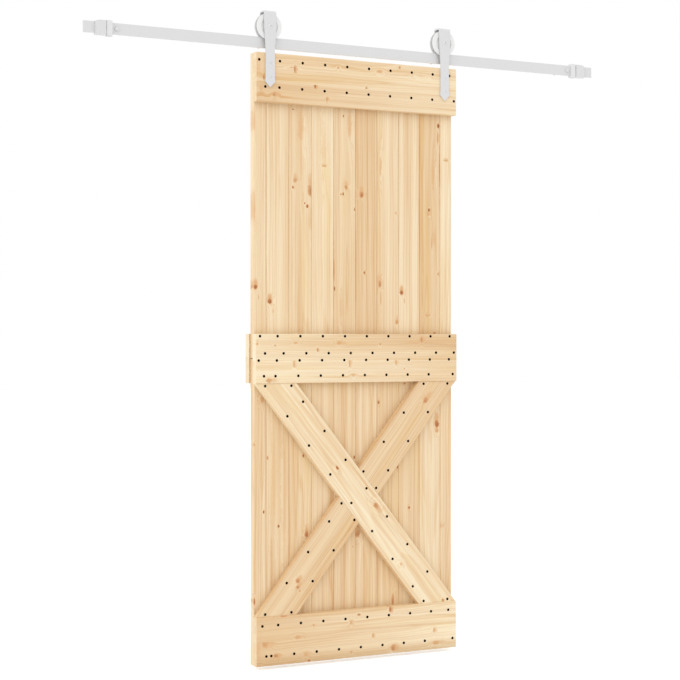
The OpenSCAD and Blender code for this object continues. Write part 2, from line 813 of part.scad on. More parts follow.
module bearing_balls(x) {
    color(bright_steel) for (i = [0 : ball_count - 1]) along_y(x, track_y, axle_z)
        rotate(i * 360 / ball_count) translate([ball_ring_r, 0, 0]) sphere(d = ball_d);
}

module bearing_outer_race_left() { bearing_outer_race(-hanger_x); }
module bearing_outer_race_right() { bearing_outer_race(hanger_x); }
module bearing_balls_left() { bearing_balls(-hanger_x); }
module bearing_balls_right() { bearing_balls(hanger_x); }

// Wheels

// Half section of a wheel in radius and width: two flanges beside the tread
module wheel_section() {
    w = wheel_w / 2;
    g = groove_w / 2;
    rim = g + groove_flare;
    b = flange_bevel;
    lip_r = seat_r - bearing_lip;
    difference() {
        polygon([
            [lip_r, -w], [flange_r - b, -w], [flange_r, -w + b], [flange_r, -rim - b], [flange_r - b, -rim],
            [tread_r, -g], [tread_r, g],
            [flange_r - b, rim], [flange_r, rim + b], [flange_r, w - b], [flange_r - b, w], [lip_r, w]
        ]);
        translate([0, -w - cut]) square([seat_r, w + cut + bearing_w / 2]);
        for (y = [-w - cut, w - face_ring_depth]) translate([seat_r + hub_wall, y])
            square([tread_r - rim_wall - seat_r - hub_wall, face_ring_depth + cut]);
    }
}

module wheel(x) {
    color(white_paint) along_y(x, track_y, axle_z) rotate_extrude() wheel_section();
}

module wheel_left() { wheel(-hanger_x); }
module wheel_right() { wheel(hanger_x); }

track_bar();
standoffs();
track_bolts();
track_washers();
end_stop_left();
end_stop_right();
bumper_left();
bumper_right();
stop_set_screws();
for (k = [1 : plank_count]) {
    upper_plank(k - 1);
    lower_plank(k - 1);
}
top_rail();
mid_rail();
bottom_rail();
back_mid_rail();
long_brace();
upper_cross_brace();
lower_cross_brace();
top_rail_screws();
mid_rail_screws();
bottom_rail_screws();
brace_screws();
back_rail_screws();
hanger_strap_left();
hanger_strap_right();
hanger_bolts();
hanger_washers();
hanger_nuts();
axle_bolts();
axle_nuts();
axle_spacers();
bearing_inner_races();
wheel_left();
wheel_right();
bearing_outer_race_left();
bearing_outer_race_right();
bearing_balls_left();
bearing_balls_right();
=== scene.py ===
# %% [markdown]
# A sliding barn door in pale knotty pine, hung from a white steel track by two strap hangers.
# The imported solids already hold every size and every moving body, so they are loaded as a fixed
# frame. The door could be modelled afresh here, but then its sizes would live in two places.

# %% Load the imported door
import json
import math

import bmesh
import bpy
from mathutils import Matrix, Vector

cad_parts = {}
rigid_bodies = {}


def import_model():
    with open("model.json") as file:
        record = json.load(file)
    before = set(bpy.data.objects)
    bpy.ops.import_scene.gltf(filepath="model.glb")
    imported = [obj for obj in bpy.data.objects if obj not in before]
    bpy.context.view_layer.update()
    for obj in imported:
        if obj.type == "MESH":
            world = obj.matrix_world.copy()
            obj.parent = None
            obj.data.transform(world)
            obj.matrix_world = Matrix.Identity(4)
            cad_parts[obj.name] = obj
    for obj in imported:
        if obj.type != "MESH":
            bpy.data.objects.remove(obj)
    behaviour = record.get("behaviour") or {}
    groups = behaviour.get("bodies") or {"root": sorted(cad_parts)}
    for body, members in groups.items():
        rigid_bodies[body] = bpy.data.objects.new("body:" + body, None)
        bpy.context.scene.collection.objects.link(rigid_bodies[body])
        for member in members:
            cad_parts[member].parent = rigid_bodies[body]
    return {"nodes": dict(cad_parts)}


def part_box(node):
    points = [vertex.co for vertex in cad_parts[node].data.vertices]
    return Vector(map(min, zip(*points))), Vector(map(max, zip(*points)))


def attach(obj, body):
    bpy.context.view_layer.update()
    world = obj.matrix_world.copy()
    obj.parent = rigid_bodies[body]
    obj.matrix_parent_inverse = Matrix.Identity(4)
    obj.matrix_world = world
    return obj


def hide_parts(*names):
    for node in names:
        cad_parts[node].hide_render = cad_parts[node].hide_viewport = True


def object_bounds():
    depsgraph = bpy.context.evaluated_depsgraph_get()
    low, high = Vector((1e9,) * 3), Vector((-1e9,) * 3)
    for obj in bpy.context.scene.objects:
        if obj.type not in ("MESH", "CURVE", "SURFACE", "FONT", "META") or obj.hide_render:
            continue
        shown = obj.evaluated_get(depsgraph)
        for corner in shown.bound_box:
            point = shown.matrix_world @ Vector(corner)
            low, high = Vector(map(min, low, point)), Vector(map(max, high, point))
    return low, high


for leftover in list(bpy.data.objects):
    bpy.data.objects.remove(leftover)
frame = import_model()
cad_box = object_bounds()
cad = frame["nodes"]

# %% [markdown]
# Colours are easiest to judge as the 0 to 255 numbers that a picture shows.
# Blender's nodes want linear light, so one helper turns the first into the second.

# %% Colours as a painter would write them
def shade(red, green, blue):
    """Linear colour, with alpha, from sRGB numbers between 0 and 255."""
    linear = []
    for level in (red, green, blue):
        part = level / 255
        linear.append(part / 12.92 if part <= 0.04045 else ((part + 0.055) / 1.055) ** 2.4)
    return (*linear, 1.0)


print("pale pine in linear light:", [round(part, 3) for part in shade(246, 223, 186)])

# %% [markdown]
# Every finish below is a tree of shader nodes, made with the same few moves: add a node, feed its
# sockets, and do sums on numbers or on vectors. Small helpers keep the finishes short to read.
# The same trees could be drawn by hand in the Shader Editor, but a script can repeat a knot
# forty times.

# %% Helpers that build node trees
def add_node(tree, kind, **settings):
    """Adds a node and sets its properties by name."""
    made = tree.nodes.new(kind)
    for name, value in settings.items():
        setattr(made, name, value)
    return made


def feed(tree, socket, value):
    """Links a socket to another one, or sets it to a plain value."""
    if isinstance(value, bpy.types.NodeSocket):
        tree.links.new(value, socket)
    else:
        socket.default_value = value


def sums(tree, operation, *values):
    """One Math node, and its result."""
    made = add_node(tree, "ShaderNodeMath", operation=operation)
    for socket, value in zip(made.inputs, values):
        feed(tree, socket, value)
    return made.outputs[0]


def vector_sums(tree, operation, *values):
    """One Vector Math node, and its result: a number for a length or a dot product."""
    made = add_node(tree, "ShaderNodeVectorMath", operation=operation)
    for socket, value in zip(made.inputs, values):
        feed(tree, socket, value)
    return made.outputs["Value" if operation in ("LENGTH", "DOT_PRODUCT") else "Vector"]


def soft_step(tree, value, start, end, low=0.0, high=1.0):
    """Goes softly from low to high while value goes from start to end."""
    made = add_node(tree, "ShaderNodeMapRange", interpolation_type="SMOOTHSTEP")
    for socket, given in zip(made.inputs, (value, start, end, low, high)):
        feed(tree, socket, given)
    return made.outputs[0]


def cloudy(tree, place, detail=2.0, roughness=0.5, part="Fac"):
    """Noise between 0 and 1 at a place that is already scaled."""
    made = add_node(tree, "ShaderNodeTexNoise", noise_dimensions="3D")
    feed(tree, made.inputs["Vector"], place)
    made.inputs["Scale"].default_value = 1.0
    made.inputs["Detail"].default_value = detail
    made.inputs["Roughness"].default_value = roughness
    return made.outputs[part]


def mix_colours(tree, factor, first, second, kind="MIX"):
    """Mixes two colours, which a Mix node has at sockets 6 and 7, with the result at 2."""
    made = add_node(tree, "ShaderNodeMix", data_type="RGBA", blend_type=kind)
    colour_sockets = (made.inputs[0], made.inputs[6], made.inputs[7])
    for socket, value in zip(colour_sockets, (factor, first, second)):
        feed(tree, socket, value)
    return made.outputs[2]


def new_group(name, inputs, outputs):
    """A node group with named sockets: the tree, its inputs by name and its output node."""
    tree = bpy.data.node_groups.new(name, "ShaderNodeTree")
    for label, kind, start in inputs:
        socket = tree.interface.new_socket(
            name=label, in_out="INPUT", socket_type="NodeSocket" + kind)
        if start is not None:
            socket.default_value = start
    for label, kind in outputs:
        tree.interface.new_socket(
            name=label, in_out="OUTPUT", socket_type="NodeSocket" + kind)
    given = add_node(tree, "NodeGroupInput").outputs
    return tree, given, add_node(tree, "NodeGroupOutput").inputs


def place_group(tree, group, values):
    """Places a group in a tree and feeds its inputs by name."""
    made = add_node(tree, "ShaderNodeGroup", node_tree=group)
    for label, value in values.items():
        feed(tree, made.inputs[label], value)
    return made.outputs


def new_material(name):
    """A material with a Principled shader: the material, its tree and the shader."""
    made = bpy.data.materials.new(name)
    made.use_nodes = True
    return made, made.node_tree, made.node_tree.nodes["Principled BSDF"]


def add_bump(tree, shader, height, strength, depth):
    """Turns a height into a bump on the shader, with its depth in metres."""
    bump = add_node(tree, "ShaderNodeBump")
    bump.inputs["Strength"].default_value = strength
    bump.inputs["Distance"].default_value = depth
    feed(tree, bump.inputs["Height"], height)
    feed(tree, shader.inputs["Normal"], bump.outputs["Normal"])


print("node helpers ready")

# %% [markdown]
# A knot is where a branch left the trunk: a darker, harder disc that runs through the board.
# Its heart sits off its middle, faint rings run round it, and a warm halo surrounds it,
# which a large knot draws out along the grain. A resin streak is the same thing, long and far paler.
# Both could be painted on, but a distance from a point, squeezed along and across the grain, gives
# a mark of any size at any place, and it goes through to the back of the board as a real knot does.
# The group also checks the board's number, so that no mark spills over a seam to the next board.

# %% Knots and resin streaks
OTHER_BOARD = 50.0
RAGGEDNESS = 0.9
HEART_ASIDE = (0.12, 0, -0.3)
RING_RATE = 18.0
RING_SWING = 0.06
HALO_STAIN = 0.42
HALO_REACH = 1.3
HALO_SQUEEZE = 0.75
LARGE_KNOT = 7
SHORT_TAIL = 1.4
LONG_TAIL = 3.0


def halo_distance(tree, given, spread):
    """Distance from a mark's halo, which is wider than the mark and drawn out by its tail length."""
    lift = add_node(tree, "ShaderNodeCombineXYZ")
    rise = sums(tree, "MULTIPLY_ADD", given["Tail Length"], 0.5, -SHORT_TAIL / 2)
    feed(tree, lift.inputs["Z"], rise)
    squeeze = add_node(tree, "ShaderNodeCombineXYZ")
    squeeze.inputs["X"].default_value = HALO_SQUEEZE
    feed(tree, squeeze.inputs["Z"], sums(tree, "DIVIDE", HALO_REACH, given["Tail Length"]))
    lifted = vector_sums(tree, "SUBTRACT", spread, lift.outputs["Vector"])
    drawn_out = vector_sums(tree, "MULTIPLY", lifted, squeeze.outputs["Vector"])
    return vector_sums(tree, "LENGTH", drawn_out)


def build_wood_mark():
    """Group that gives how far a place is from a mark, in mark sizes, and how stained it is."""
    tree, given, out = new_group(
        "wood_mark",
        [("Place", "Vector", None), ("Board", "Float", 0.0), ("Ragged", "Float", 0.5),
         ("Centre", "Vector", None), ("Half Size", "Vector", None), ("Own Board", "Float", 0.0),
         ("Depth", "Float", 0.5), ("Tail Length", "Float", SHORT_TAIL)],
        [("Reach", "Float"), ("Stain", "Float")])
    offset = vector_sums(tree, "SUBTRACT", given["Place"], given["Centre"])
    on_face = vector_sums(tree, "MULTIPLY", offset, (1, 0, 1))
    spread = vector_sums(tree, "DIVIDE", on_face, given["Half Size"])
    distance = vector_sums(tree, "LENGTH", spread)
    uneven = sums(tree, "MULTIPLY_ADD", given["Ragged"], RAGGEDNESS, -RAGGEDNESS / 2)
    strays = sums(tree, "ABSOLUTE", sums(tree, "SUBTRACT", given["Board"], given["Own Board"]))
    elsewhere = sums(tree, "GREATER_THAN", strays, 0.5)
    reach = sums(tree, "ADD", distance, uneven)
    reach = sums(tree, "MULTIPLY_ADD", elsewhere, OTHER_BOARD, reach)
    core = soft_step(tree, reach, 0.6, 1.35, 1.0, 0.0)
    from_heart = vector_sums(tree, "SUBTRACT", spread, HEART_ASIDE)
    heart = soft_step(tree, vector_sums(tree, "LENGTH", from_heart), 0.2, 0.9, 1.0, 0.8)
    wave = sums(tree, "SINE", sums(tree, "MULTIPLY", reach, RING_RATE))
    rings = sums(tree, "MULTIPLY_ADD", wave, RING_SWING, heart)
    around = sums(tree, "MULTIPLY_ADD", uneven, 0.6, halo_distance(tree, given, spread))
    around = sums(tree, "MULTIPLY_ADD", elsewhere, OTHER_BOARD, around)
    halo = soft_step(tree, around, 0.3, HALO_REACH, HALO_STAIN, 0.0)
    stain = sums(tree, "MAXIMUM", sums(tree, "MULTIPLY", core, rings), halo)
    feed(tree, out["Reach"], reach)
    feed(tree, out["Stain"], sums(tree, "MULTIPLY", stain, given["Depth"]))
    return tree


wood_mark = build_wood_mark()
print("made", wood_mark.name, "with", len(wood_mark.nodes), "nodes")

# %% [markdown]
# Pine goes from pale earlywood to tan latewood. Some boards are deeper in tone than others,
# some streaks are rich in resin, and some fibres are a little grey.
# A knot or a resin streak takes the same wood further: warm orange, brown, then a dark heart.
# One colour ramp could hold the steps, but mixes let each start from whatever wood is there.

# %% Pine's colours
EARLYWOOD = shade(254, 235, 200)
LATEWOOD = shade(233, 193, 141)
DEEP_BOARD = shade(236, 216, 193)
RESIN_RICH = shade(243, 210, 148)
GREY_FIBRE = (0.94, 0.91, 0.91, 1)
STAIN_WARM = shade(230, 183, 132)
STAIN_KNOT = shade(190, 122, 76)
STAIN_DARK = shade(104, 66, 40)


def stain_colours(tree, wood, stain):
    """Lets a stain take the wood from warm orange, through knot brown, to a dark heart."""
    warm = mix_colours(tree, soft_step(tree, stain, 0.0, 0.3), wood, STAIN_WARM)
    knot = mix_colours(tree, soft_step(tree, stain, 0.25, 0.65), warm, STAIN_KNOT)
    return mix_colours(tree, soft_step(tree, stain, 0.6, 0.95), knot, STAIN_DARK)


print("earlywood", [round(part, 3) for part in EARLYWOOD[:3]])
print("latewood", [round(part, 3) for part in LATEWOOD[:3]])

# %% [markdown]
# Pine shows its growth rings: pale, wide earlywood and thin, darker latewood lines.
# A board is cut out of a round trunk, so the honest way to draw them is in three dimensions:
# the distance from a trunk centre that lies behind the board and leans a little. The faces then show
# straight lines or arches by themselves, and the ends show arcs. Flat stripes would fit one face.
# Each board draws a trunk of its own by its number. Slow noise lets the trunk wander, and knots push
# the rings aside.

# %% Growth rings
TRUNK_ASIDE = 0.15
TRUNK_NEAR = 0.05
TRUNK_SPAN = 0.1
TRUNK_LEAN = 0.015
TRUNK_WANDER = 0.008
WANDER_SCALE = (0, 0, 1.6)
RING_WOBBLE = 0.004
WOBBLE_SCALE = (26, 26, 3)
RING_UNEVEN = 2.2
UNEVEN_RATE = 55.0
LOT_OFFSET = 0.37


def moves_across(tree, noise, most):
    """Moves across a board by coloured noise, up to most metres either way."""
    return vector_sums(tree, "MULTIPLY_ADD", noise, (2 * most, 2 * most, 0), (-most, -most, 0))


def trunk_distance(tree, given, noise_at):
    """Distance of a place from the middle of its board's trunk."""
    place = given["Place"]
    draw = add_node(tree, "ShaderNodeTexWhiteNoise", noise_dimensions="1D")
    feed(tree, draw.inputs["W"], sums(tree, "ADD", given["Board"], LOT_OFFSET))
    lot = add_node(tree, "ShaderNodeSeparateColor")
    feed(tree, lot.inputs[0], draw.outputs["Color"])
    aside = sums(tree, "MULTIPLY_ADD", lot.outputs["Red"], 2 * TRUNK_ASIDE, -TRUNK_ASIDE)
    behind = sums(tree, "MULTIPLY_ADD", lot.outputs["Green"], TRUNK_SPAN, TRUNK_NEAR)
    lean = sums(tree, "MULTIPLY_ADD", lot.outputs["Blue"], 2 * TRUNK_LEAN, -TRUNK_LEAN)
    centre = add_node(tree, "ShaderNodeCombineXYZ")
    feed(tree, centre.inputs["X"], aside)
    feed(tree, centre.inputs["Y"], behind)
    wander = moves_across(tree, noise_at(place, WANDER_SCALE, part="Color"), TRUNK_WANDER)
    moved = vector_sums(tree, "ADD", place, wander)
    spoke = vector_sums(tree, "SUBTRACT", moved, centre.outputs["Vector"])
    radius = vector_sums(tree, "LENGTH", vector_sums(tree, "MULTIPLY", spoke, (1, 1, 0)))
    along = vector_sums(tree, "DOT_PRODUCT", place, (0, 0, 1))
    return sums(tree, "MULTIPLY_ADD", along, lean, radius)


def growth_rings(tree, given, noise_at, push):
    """Latewood, from 0 to 1, with push as how far knots move the rings, in metres."""
    radius = trunk_distance(tree, given, noise_at)
    shake = noise_at(given["Place"], WOBBLE_SCALE)
    wobble = sums(tree, "MULTIPLY_ADD", shake, RING_WOBBLE, radius)
    ring = sums(tree, "DIVIDE", sums(tree, "ADD", wobble, push), given["Ring Width"])
    uneven = add_node(tree, "ShaderNodeTexNoise", noise_dimensions="1D")
    feed(tree, uneven.inputs["W"], sums(tree, "MULTIPLY_ADD", radius, UNEVEN_RATE, given["Board"]))
    uneven.inputs["Scale"].default_value = 1.0
    ring = sums(tree, "MULTIPLY_ADD", uneven.outputs["Fac"], RING_UNEVEN, ring)
    turn = sums(tree, "FRACT", ring)
    rise = soft_step(tree, turn, 0.25, 0.9)
    return sums(tree, "MULTIPLY", rise, soft_step(tree, turn, 1.0, 0.9))


print("a trunk lies", TRUNK_NEAR, "to", round(TRUNK_NEAR + TRUNK_SPAN, 3), "m behind its board")

# %% [markdown]
# Between its rings the wood is never plain: fibres, streaks and broad bands run along the grain,
# fine lines come and go, and there are the resin and the grey fibres.
# Stripes would be simpler, but no board is that straight. All of this is noise, stretched along
# the grain, that sways a little and bends round the knots as the rings do.
# Each kind adds its share to one amount, which then takes the wood from earlywood to latewood.

# %% The figure of pine
KNOT_PUSH = 0.011
GRAIN_SWAY = 0.006
SWAY_SCALE = (2, 2, 3)
BOARD_STRIDE = (1.7, 0.9, 2.3)
STREAKS = (110, 110, 0.9)
BANDS = (38, 38, 0.6)
CLOUDS = (10, 10, 0.8)
FIBRES = (950, 950, 16)
LINES = (20, 20, 0.8)
LINE_LEVELS = 7.0
RESIN = (16, 16, 1.3)
GREYING = (75, 75, 1.1)
PLAIN_SHARE = 0.2
RING_SHARE = 0.3
LINE_SHARE = 0.4
STREAK_SHARE = 1.55
BAND_SHARE = 1.3
CLOUD_SHARE = 0.6
FIBRE_SHARE = 0.25


def fine_lines(tree, noise, cloud):
    """Thin lines, drawn as the contours of slow noise, only where the cloud is dense."""
    level = sums(tree, "FRACT", sums(tree, "MULTIPLY", noise, LINE_LEVELS))
    off_line = sums(tree, "ABSOLUTE", sums(tree, "SUBTRACT", level, 0.5))
    line = soft_step(tree, off_line, 0.0, 0.16, 1.0, 0.0)
    return sums(tree, "MULTIPLY", line, soft_step(tree, cloud, 0.4, 0.65))


def build_pine():
    """Group with the figure of pine. Place is across the board, through it and along its grain."""
    tree, given, out = new_group(
        "pine_figure",
        [("Place", "Vector", None), ("Board", "Float", 0.0), ("Depth of Tone", "Float", 0.3),
         ("Ring Width", "Float", 0.004), ("Reach", "Float", OTHER_BOARD), ("Stain", "Float", 0.0)],
        [("Color", "Color"), ("Roughness", "Float"), ("Height", "Float")])
    place = given["Place"]
    shift = vector_sums(tree, "SCALE", BOARD_STRIDE)
    feed(tree, shift.node.inputs["Scale"], given["Board"])

    def noise_at(spot, scales, detail=2.0, roughness=0.5, part="Fac"):
        """Noise at a spot, moved elsewhere for each board."""
        scaled = vector_sums(tree, "MULTIPLY_ADD", spot, scales, shift)
        return cloudy(tree, scaled, detail, roughness, part)

    push = soft_step(tree, given["Reach"], 0.3, 3.2, KNOT_PUSH, 0.0)
    latewood = growth_rings(tree, given, noise_at, push)
    aside = add_node(tree, "ShaderNodeCombineXYZ")
    feed(tree, aside.inputs["X"], push)
    sway = moves_across(tree, noise_at(place, SWAY_SCALE, part="Color"), GRAIN_SWAY)
    swayed = vector_sums(tree, "ADD", place, sway)
    grain = vector_sums(tree, "ADD", swayed, aside.outputs["Vector"])
    streak = noise_at(grain, STREAKS, 3.0, 0.6)
    band = noise_at(grain, BANDS)
    cloud = noise_at(place, CLOUDS)
    fibre = noise_at(place, FIBRES)
    line = fine_lines(tree, noise_at(grain, LINES, 2.0, 0.4), cloud)

    amount = sums(tree, "MULTIPLY_ADD", latewood, RING_SHARE, PLAIN_SHARE)
    amount = sums(tree, "MULTIPLY_ADD", line, LINE_SHARE, amount)
    shares = ((streak, STREAK_SHARE), (band, BAND_SHARE), (cloud, CLOUD_SHARE), (fibre, FIBRE_SHARE))
    for noise, share in shares:
        swing = sums(tree, "SUBTRACT", noise, 0.5)
        amount = sums(tree, "MULTIPLY_ADD", swing, share, amount)
    amount.node.use_clamp = True
    wood = mix_colours(tree, amount, EARLYWOOD, LATEWOOD)
    resin = soft_step(tree, noise_at(grain, RESIN, 3.0), 0.52, 0.72, 0.0, 0.45)
    wood = mix_colours(tree, resin, wood, RESIN_RICH)
    grey = soft_step(tree, noise_at(grain, GREYING, 3.0, 0.6), 0.4, 0.75)
    wood = mix_colours(tree, grey, wood, GREY_FIBRE, "MULTIPLY")
    # A tone below 0 makes a board paler, so this factor isn't clamped.
    wood = mix_colours(tree, given["Depth of Tone"], wood, DEEP_BOARD, "MULTIPLY")
    wood.node.clamp_factor = False
    feed(tree, out["Color"], stain_colours(tree, wood, given["Stain"]))
    rough = sums(tree, "MULTIPLY_ADD", fibre, 0.16, 0.5)
    feed(tree, out["Roughness"], sums(tree, "MULTIPLY_ADD", latewood, -0.08, rough))
    feed(tree, out["Height"], sums(tree, "MULTIPLY_ADD", latewood, 0.5, fibre))
    return tree


pine_figure = build_pine()
print("made", pine_figure.name, "with", len(pine_figure.nodes), "nodes")

# %% [markdown]
# Where boards meet at an inside corner, and next to neighbouring parts, the colour is darkened:
# painted shade.
# It could be painted along each rail, but an Ambient Occlusion node finds every such corner by
# itself: it looks a short way out from the surface and tells how much of the view is blocked.
# Faces to the front and back take most of it. Edges and seams take less, or they would turn black.

# %% Painted shade in the corners
SHADE_TINT = (0.72, 0.71, 0.69, 1)
SHADE_SAMPLES = 12
THROUGH = (0, 1, 0)


def facing_share(tree, direction, low, high):
    """Goes from low to high where a surface comes to face along a direction or against it."""
    normal = add_node(tree, "ShaderNodeTexCoord").outputs["Normal"]
    facing = sums(tree, "ABSOLUTE", vector_sums(tree, "DOT_PRODUCT", normal, direction))
    return soft_step(tree, facing, 0.75, 0.95, low, high)


def build_corner_shade():
    """Group that paints shade into a colour in the corners of a piece and next to its neighbours."""
    tree, given, out = new_group(
        "corner_shade",
        [("Color", "Color", (0.8, 0.8, 0.8, 1)), ("On Faces", "Float", 0.5),
         ("On Edges", "Float", 0.1), ("Width", "Float", 0.05)],
        [("Color", "Color")])
    corner = add_node(tree, "ShaderNodeAmbientOcclusion", samples=SHADE_SAMPLES)
    feed(tree, corner.inputs["Distance"], given["Width"])
    cover = soft_step(tree, corner.outputs["AO"], 0.45, 1.0, 1.0, 0.0)
    amount = facing_share(tree, THROUGH, given["On Edges"], given["On Faces"])
    cover = sums(tree, "MULTIPLY", cover, amount)
    # Painted shade: the colour is darkened where the Ambient Occlusion node finds the view blocked.
    feed(tree, out["Color"], mix_colours(tree, cover, given["Color"], SHADE_TINT, "MULTIPLY"))
    return tree


corner_shade = build_corner_shade()
print("made", corner_shade.name, "with", len(corner_shade.nodes), "nodes")

# %% [markdown]
# Each board needs its own frame: across the board, through it and along its grain.
# A turned Mapping node could do that, but a dot product with each direction says it more plainly.
# The same turn is done in Python for a mark's centre, so that marks can be listed by their place
# on the door. A board's ends, across the grain, are painted paler and plainer: partly paler end
# grain, partly painted light that brightens the end faces.

# %% Board frames and marked boards
MM = 0.001
RAGGED_SCALE = (110, 110, 70)
END_GRAIN_AND_LIGHT = shade(252, 236, 206)
END_GRAIN_AND_LIGHT_SHARE = 0.4
PINE_GLOSS = 0.25
PINE_BUMP = 0.35
PINE_RELIEF = 0.0003


class BoardFrame:
    """A board's middle and the direction of its grain, as an angle up from the X axis."""

    def __init__(self, middle, grain_degrees):
        self.middle = Vector(middle)
        turn = math.radians(grain_degrees)
        self.along = Vector((math.cos(turn), 0, math.sin(turn)))
        self.across = Vector((math.sin(turn), 0, -math.cos(turn)))

    def nodes(self, tree):
        """Nodes that turn Object coordinates into this board's frame."""
        source = add_node(tree, "ShaderNodeTexCoord").outputs["Object"]
        local = vector_sums(tree, "SUBTRACT", source, tuple(self.middle))
        joined = add_node(tree, "ShaderNodeCombineXYZ")
        for axis, direction in (("X", self.across), ("Y", THROUGH), ("Z", self.along)):
            feed(tree, joined.inputs[axis], vector_sums(tree, "DOT_PRODUCT", local, direction))
        return joined.outputs["Vector"]

    def turned(self, x, z):
        """Place across and along the grain, from millimetres on the door's front."""
        local = Vector((x * MM, self.middle.y, z * MM)) - self.middle
        return local.dot(self.across), local.dot(self.along)


def add_marks(tree, board_frame, place, board, marks, board_of):
    """Chains a list of marks: the least reach and the strongest stain of them all."""
    ragged = cloudy(tree, vector_sums(tree, "MULTIPLY", place, RAGGED_SCALE))
    reach, stain = OTHER_BOARD, 0.0
    for x, z, half_across, half_along, depth in marks:
        across, along = board_frame.turned(x, z)
        mark = place_group(tree, wood_mark, {
            "Place": place, "Board": board, "Ragged": ragged, "Centre": (across, 0, along),
            "Half Size": (half_across * MM, 1, half_along * MM), "Own Board": board_of(across),
            "Depth": depth, "Tail Length": LONG_TAIL if half_across >= LARGE_KNOT else SHORT_TAIL})
        reach = sums(tree, "MINIMUM", mark["Reach"], reach)
        stain = sums(tree, "MAXIMUM", mark["Stain"], stain)
    return reach, stain


def finish_pine(tree, shader, figure, along):
    """Joins the pine group to the shader, with ends painted paler as end grain and painted light."""
    # Painted light: faces across the grain are mixed towards a paler colour, partly as paler end
    # grain.
    pale_lit_end = facing_share(tree, along, 0.0, END_GRAIN_AND_LIGHT_SHARE)
    wood = mix_colours(tree, pale_lit_end, figure["Color"], END_GRAIN_AND_LIGHT)
    # Painted shade: the corner group darkens the wood in its corners and next to other parts.
    shaded = place_group(tree, corner_shade, {
        "Color": wood, "On Faces": 0.7, "On Edges": 0.14, "Width": 0.06})
    feed(tree, shader.inputs["Base Color"], shaded["Color"])
    feed(tree, shader.inputs["Roughness"], figure["Roughness"])
    shader.inputs["Specular IOR Level"].default_value = PINE_GLOSS
    add_bump(tree, shader, figure["Height"], PINE_BUMP, PINE_RELIEF)


def dress(names, material):
    """Gives CAD pieces a finish."""
    for name in names:
        cad[name].data.materials.clear()
        cad[name].data.materials.append(material)


def middle_of(node):
    """Middle of a CAD piece's box."""
    low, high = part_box(node)
    return (low + high) / 2


print("the mid rail's middle is at", [round(part, 3) for part in middle_of("mid_rail")])

# %% [markdown]
# The panels are tongue-and-groove boards, ten above the mid rail and ten below, some paler and some
# deeper. Each could have a material of its own, but the boards are all one width, so the X coordinate
# gives the board's number: one finish serves a whole panel, and a stepped colour ramp sets the tones.
# Every mark is given as x, z, its half size across and along the grain in millimetres, and its depth.

# %% The plank panels
PLANK_COVER = 0.0875
PLANK_COUNT = 10
PLANK_RING = 0.0042
PANEL_MIDDLE_Y = middle_of("upper_plank_1").y
TONES = {"pale": 0.0, "fair": 0.12, "mid": 0.3, "rich": 0.42, "deep": 0.65}

UPPER_TONES = "mid fair fair pale mid deep fair fair rich pale".split()
UPPER_MARKS = [
    (-391, -836, 8, 10, 0.72), (-379, -870, 1.5, 9, 0.4), (-337, -885, 9, 10, 0.72),
    (-324, -918, 1.5, 9, 0.4), (-396, -264, 5, 45, 0.18), (-396, -560, 5, 60, 0.2),
    (-248, -219, 4, 3, 0.6), (-218, -277, 13, 60, 0.2), (-216, -390, 4, 90, 0.16),
    (-239, -463, 8, 10, 0.42), (-248, -489, 4, 6, 0.62), (-180, -495, 10, 22, 0.5),
    (-192, -552, 5, 7, 0.7), (-202, -543, 3, 4, 0.65), (-184, -590, 8, 50, 0.14),
    (-125, -409, 11, 4, 0.34), (-124, -330, 8, 90, 0.12), (-86, -770, 2.5, 40, 0.4),
    (-84, -838, 2.5, 9, 0.75), (-62, -902, 4, 50, 0.14), (-49, -230, 2.5, 4, 0.8),
    (-25, -257, 10, 50, 0.2), (-39, -479, 7, 9, 0.48), (-60, -506, 4, 3, 0.45),
    (-50, -504, 3, 6, 0.75), (-5, -557, 2, 6, 0.7), (24, -504, 8, 12, 0.58), (35, -780, 4, 5, 0.65),
    (100, -400, 5, 40, 0.2), (98, -819, 7, 14, 0.5), (102, -867, 2, 28, 0.4),
    (164, -564, 4, 5, 0.28), (187, -848, 8, 9, 0.72), (199, -878, 1.5, 9, 0.42),
    (168, -954, 7, 9, 0.42), (342, -241, 5, 9, 0.8), (339, -285, 4, 26, 0.4),
    (347, -394, 2.5, 80, 0.5), (302, -548, 4, 6, 0.85), (299, -562, 5, 8, 0.35),
    (319, -412, 7, 60, 0.2), (314, -670, 2, 20, 0.4), (274, -856, 2, 45, 0.35),
    (299, -930, 12, 4, 0.36), (342, -779, 4, 5, 0.4), (326, -993, 6, 3, 0.6),
    (374, -365, 10, 4, 0.36),
]
LOWER_TONES = "mid rich fair mid rich mid rich rich fair rich".split()
LOWER_MARKS = [
    (-366, -1222, 8, 14, 0.35), (-395, -1377, 3, 6, 0.38), (-360, -1609, 3, 5, 0.85),
    (-395, -1915, 3, 14, 0.65), (-345, -1424, 3, 6, 0.5), (-303, -1661, 4, 6, 0.8),
    (-320, -1500, 7, 160, 0.14), (-330, -1800, 4, 110, 0.25), (-280, -1560, 6, 200, 0.14),
    (-207, -1421, 4, 6, 0.7), (-195, -1694, 7, 12, 0.58), (-5, -1433, 5, 7, 0.6),
    (-12, -1749, 2, 3, 0.45), (7, -1703, 12, 15, 0.5), (93, -1241, 4, 7, 0.62),
    (171, -1473, 5, 8, 0.65), (151, -1950, 6, 22, 0.5), (200, -1175, 5, 4, 0.5),
    (219, -1622, 4, 5, 0.75), (335, -1322, 10, 14, 0.66), (336, -1346, 8, 10, 0.35),
    (356, -1694, 7, 8, 0.2),
]


def plank_number(across):
    """Number of the plank at a place across the panel."""
    return float(math.floor(across / PLANK_COVER))


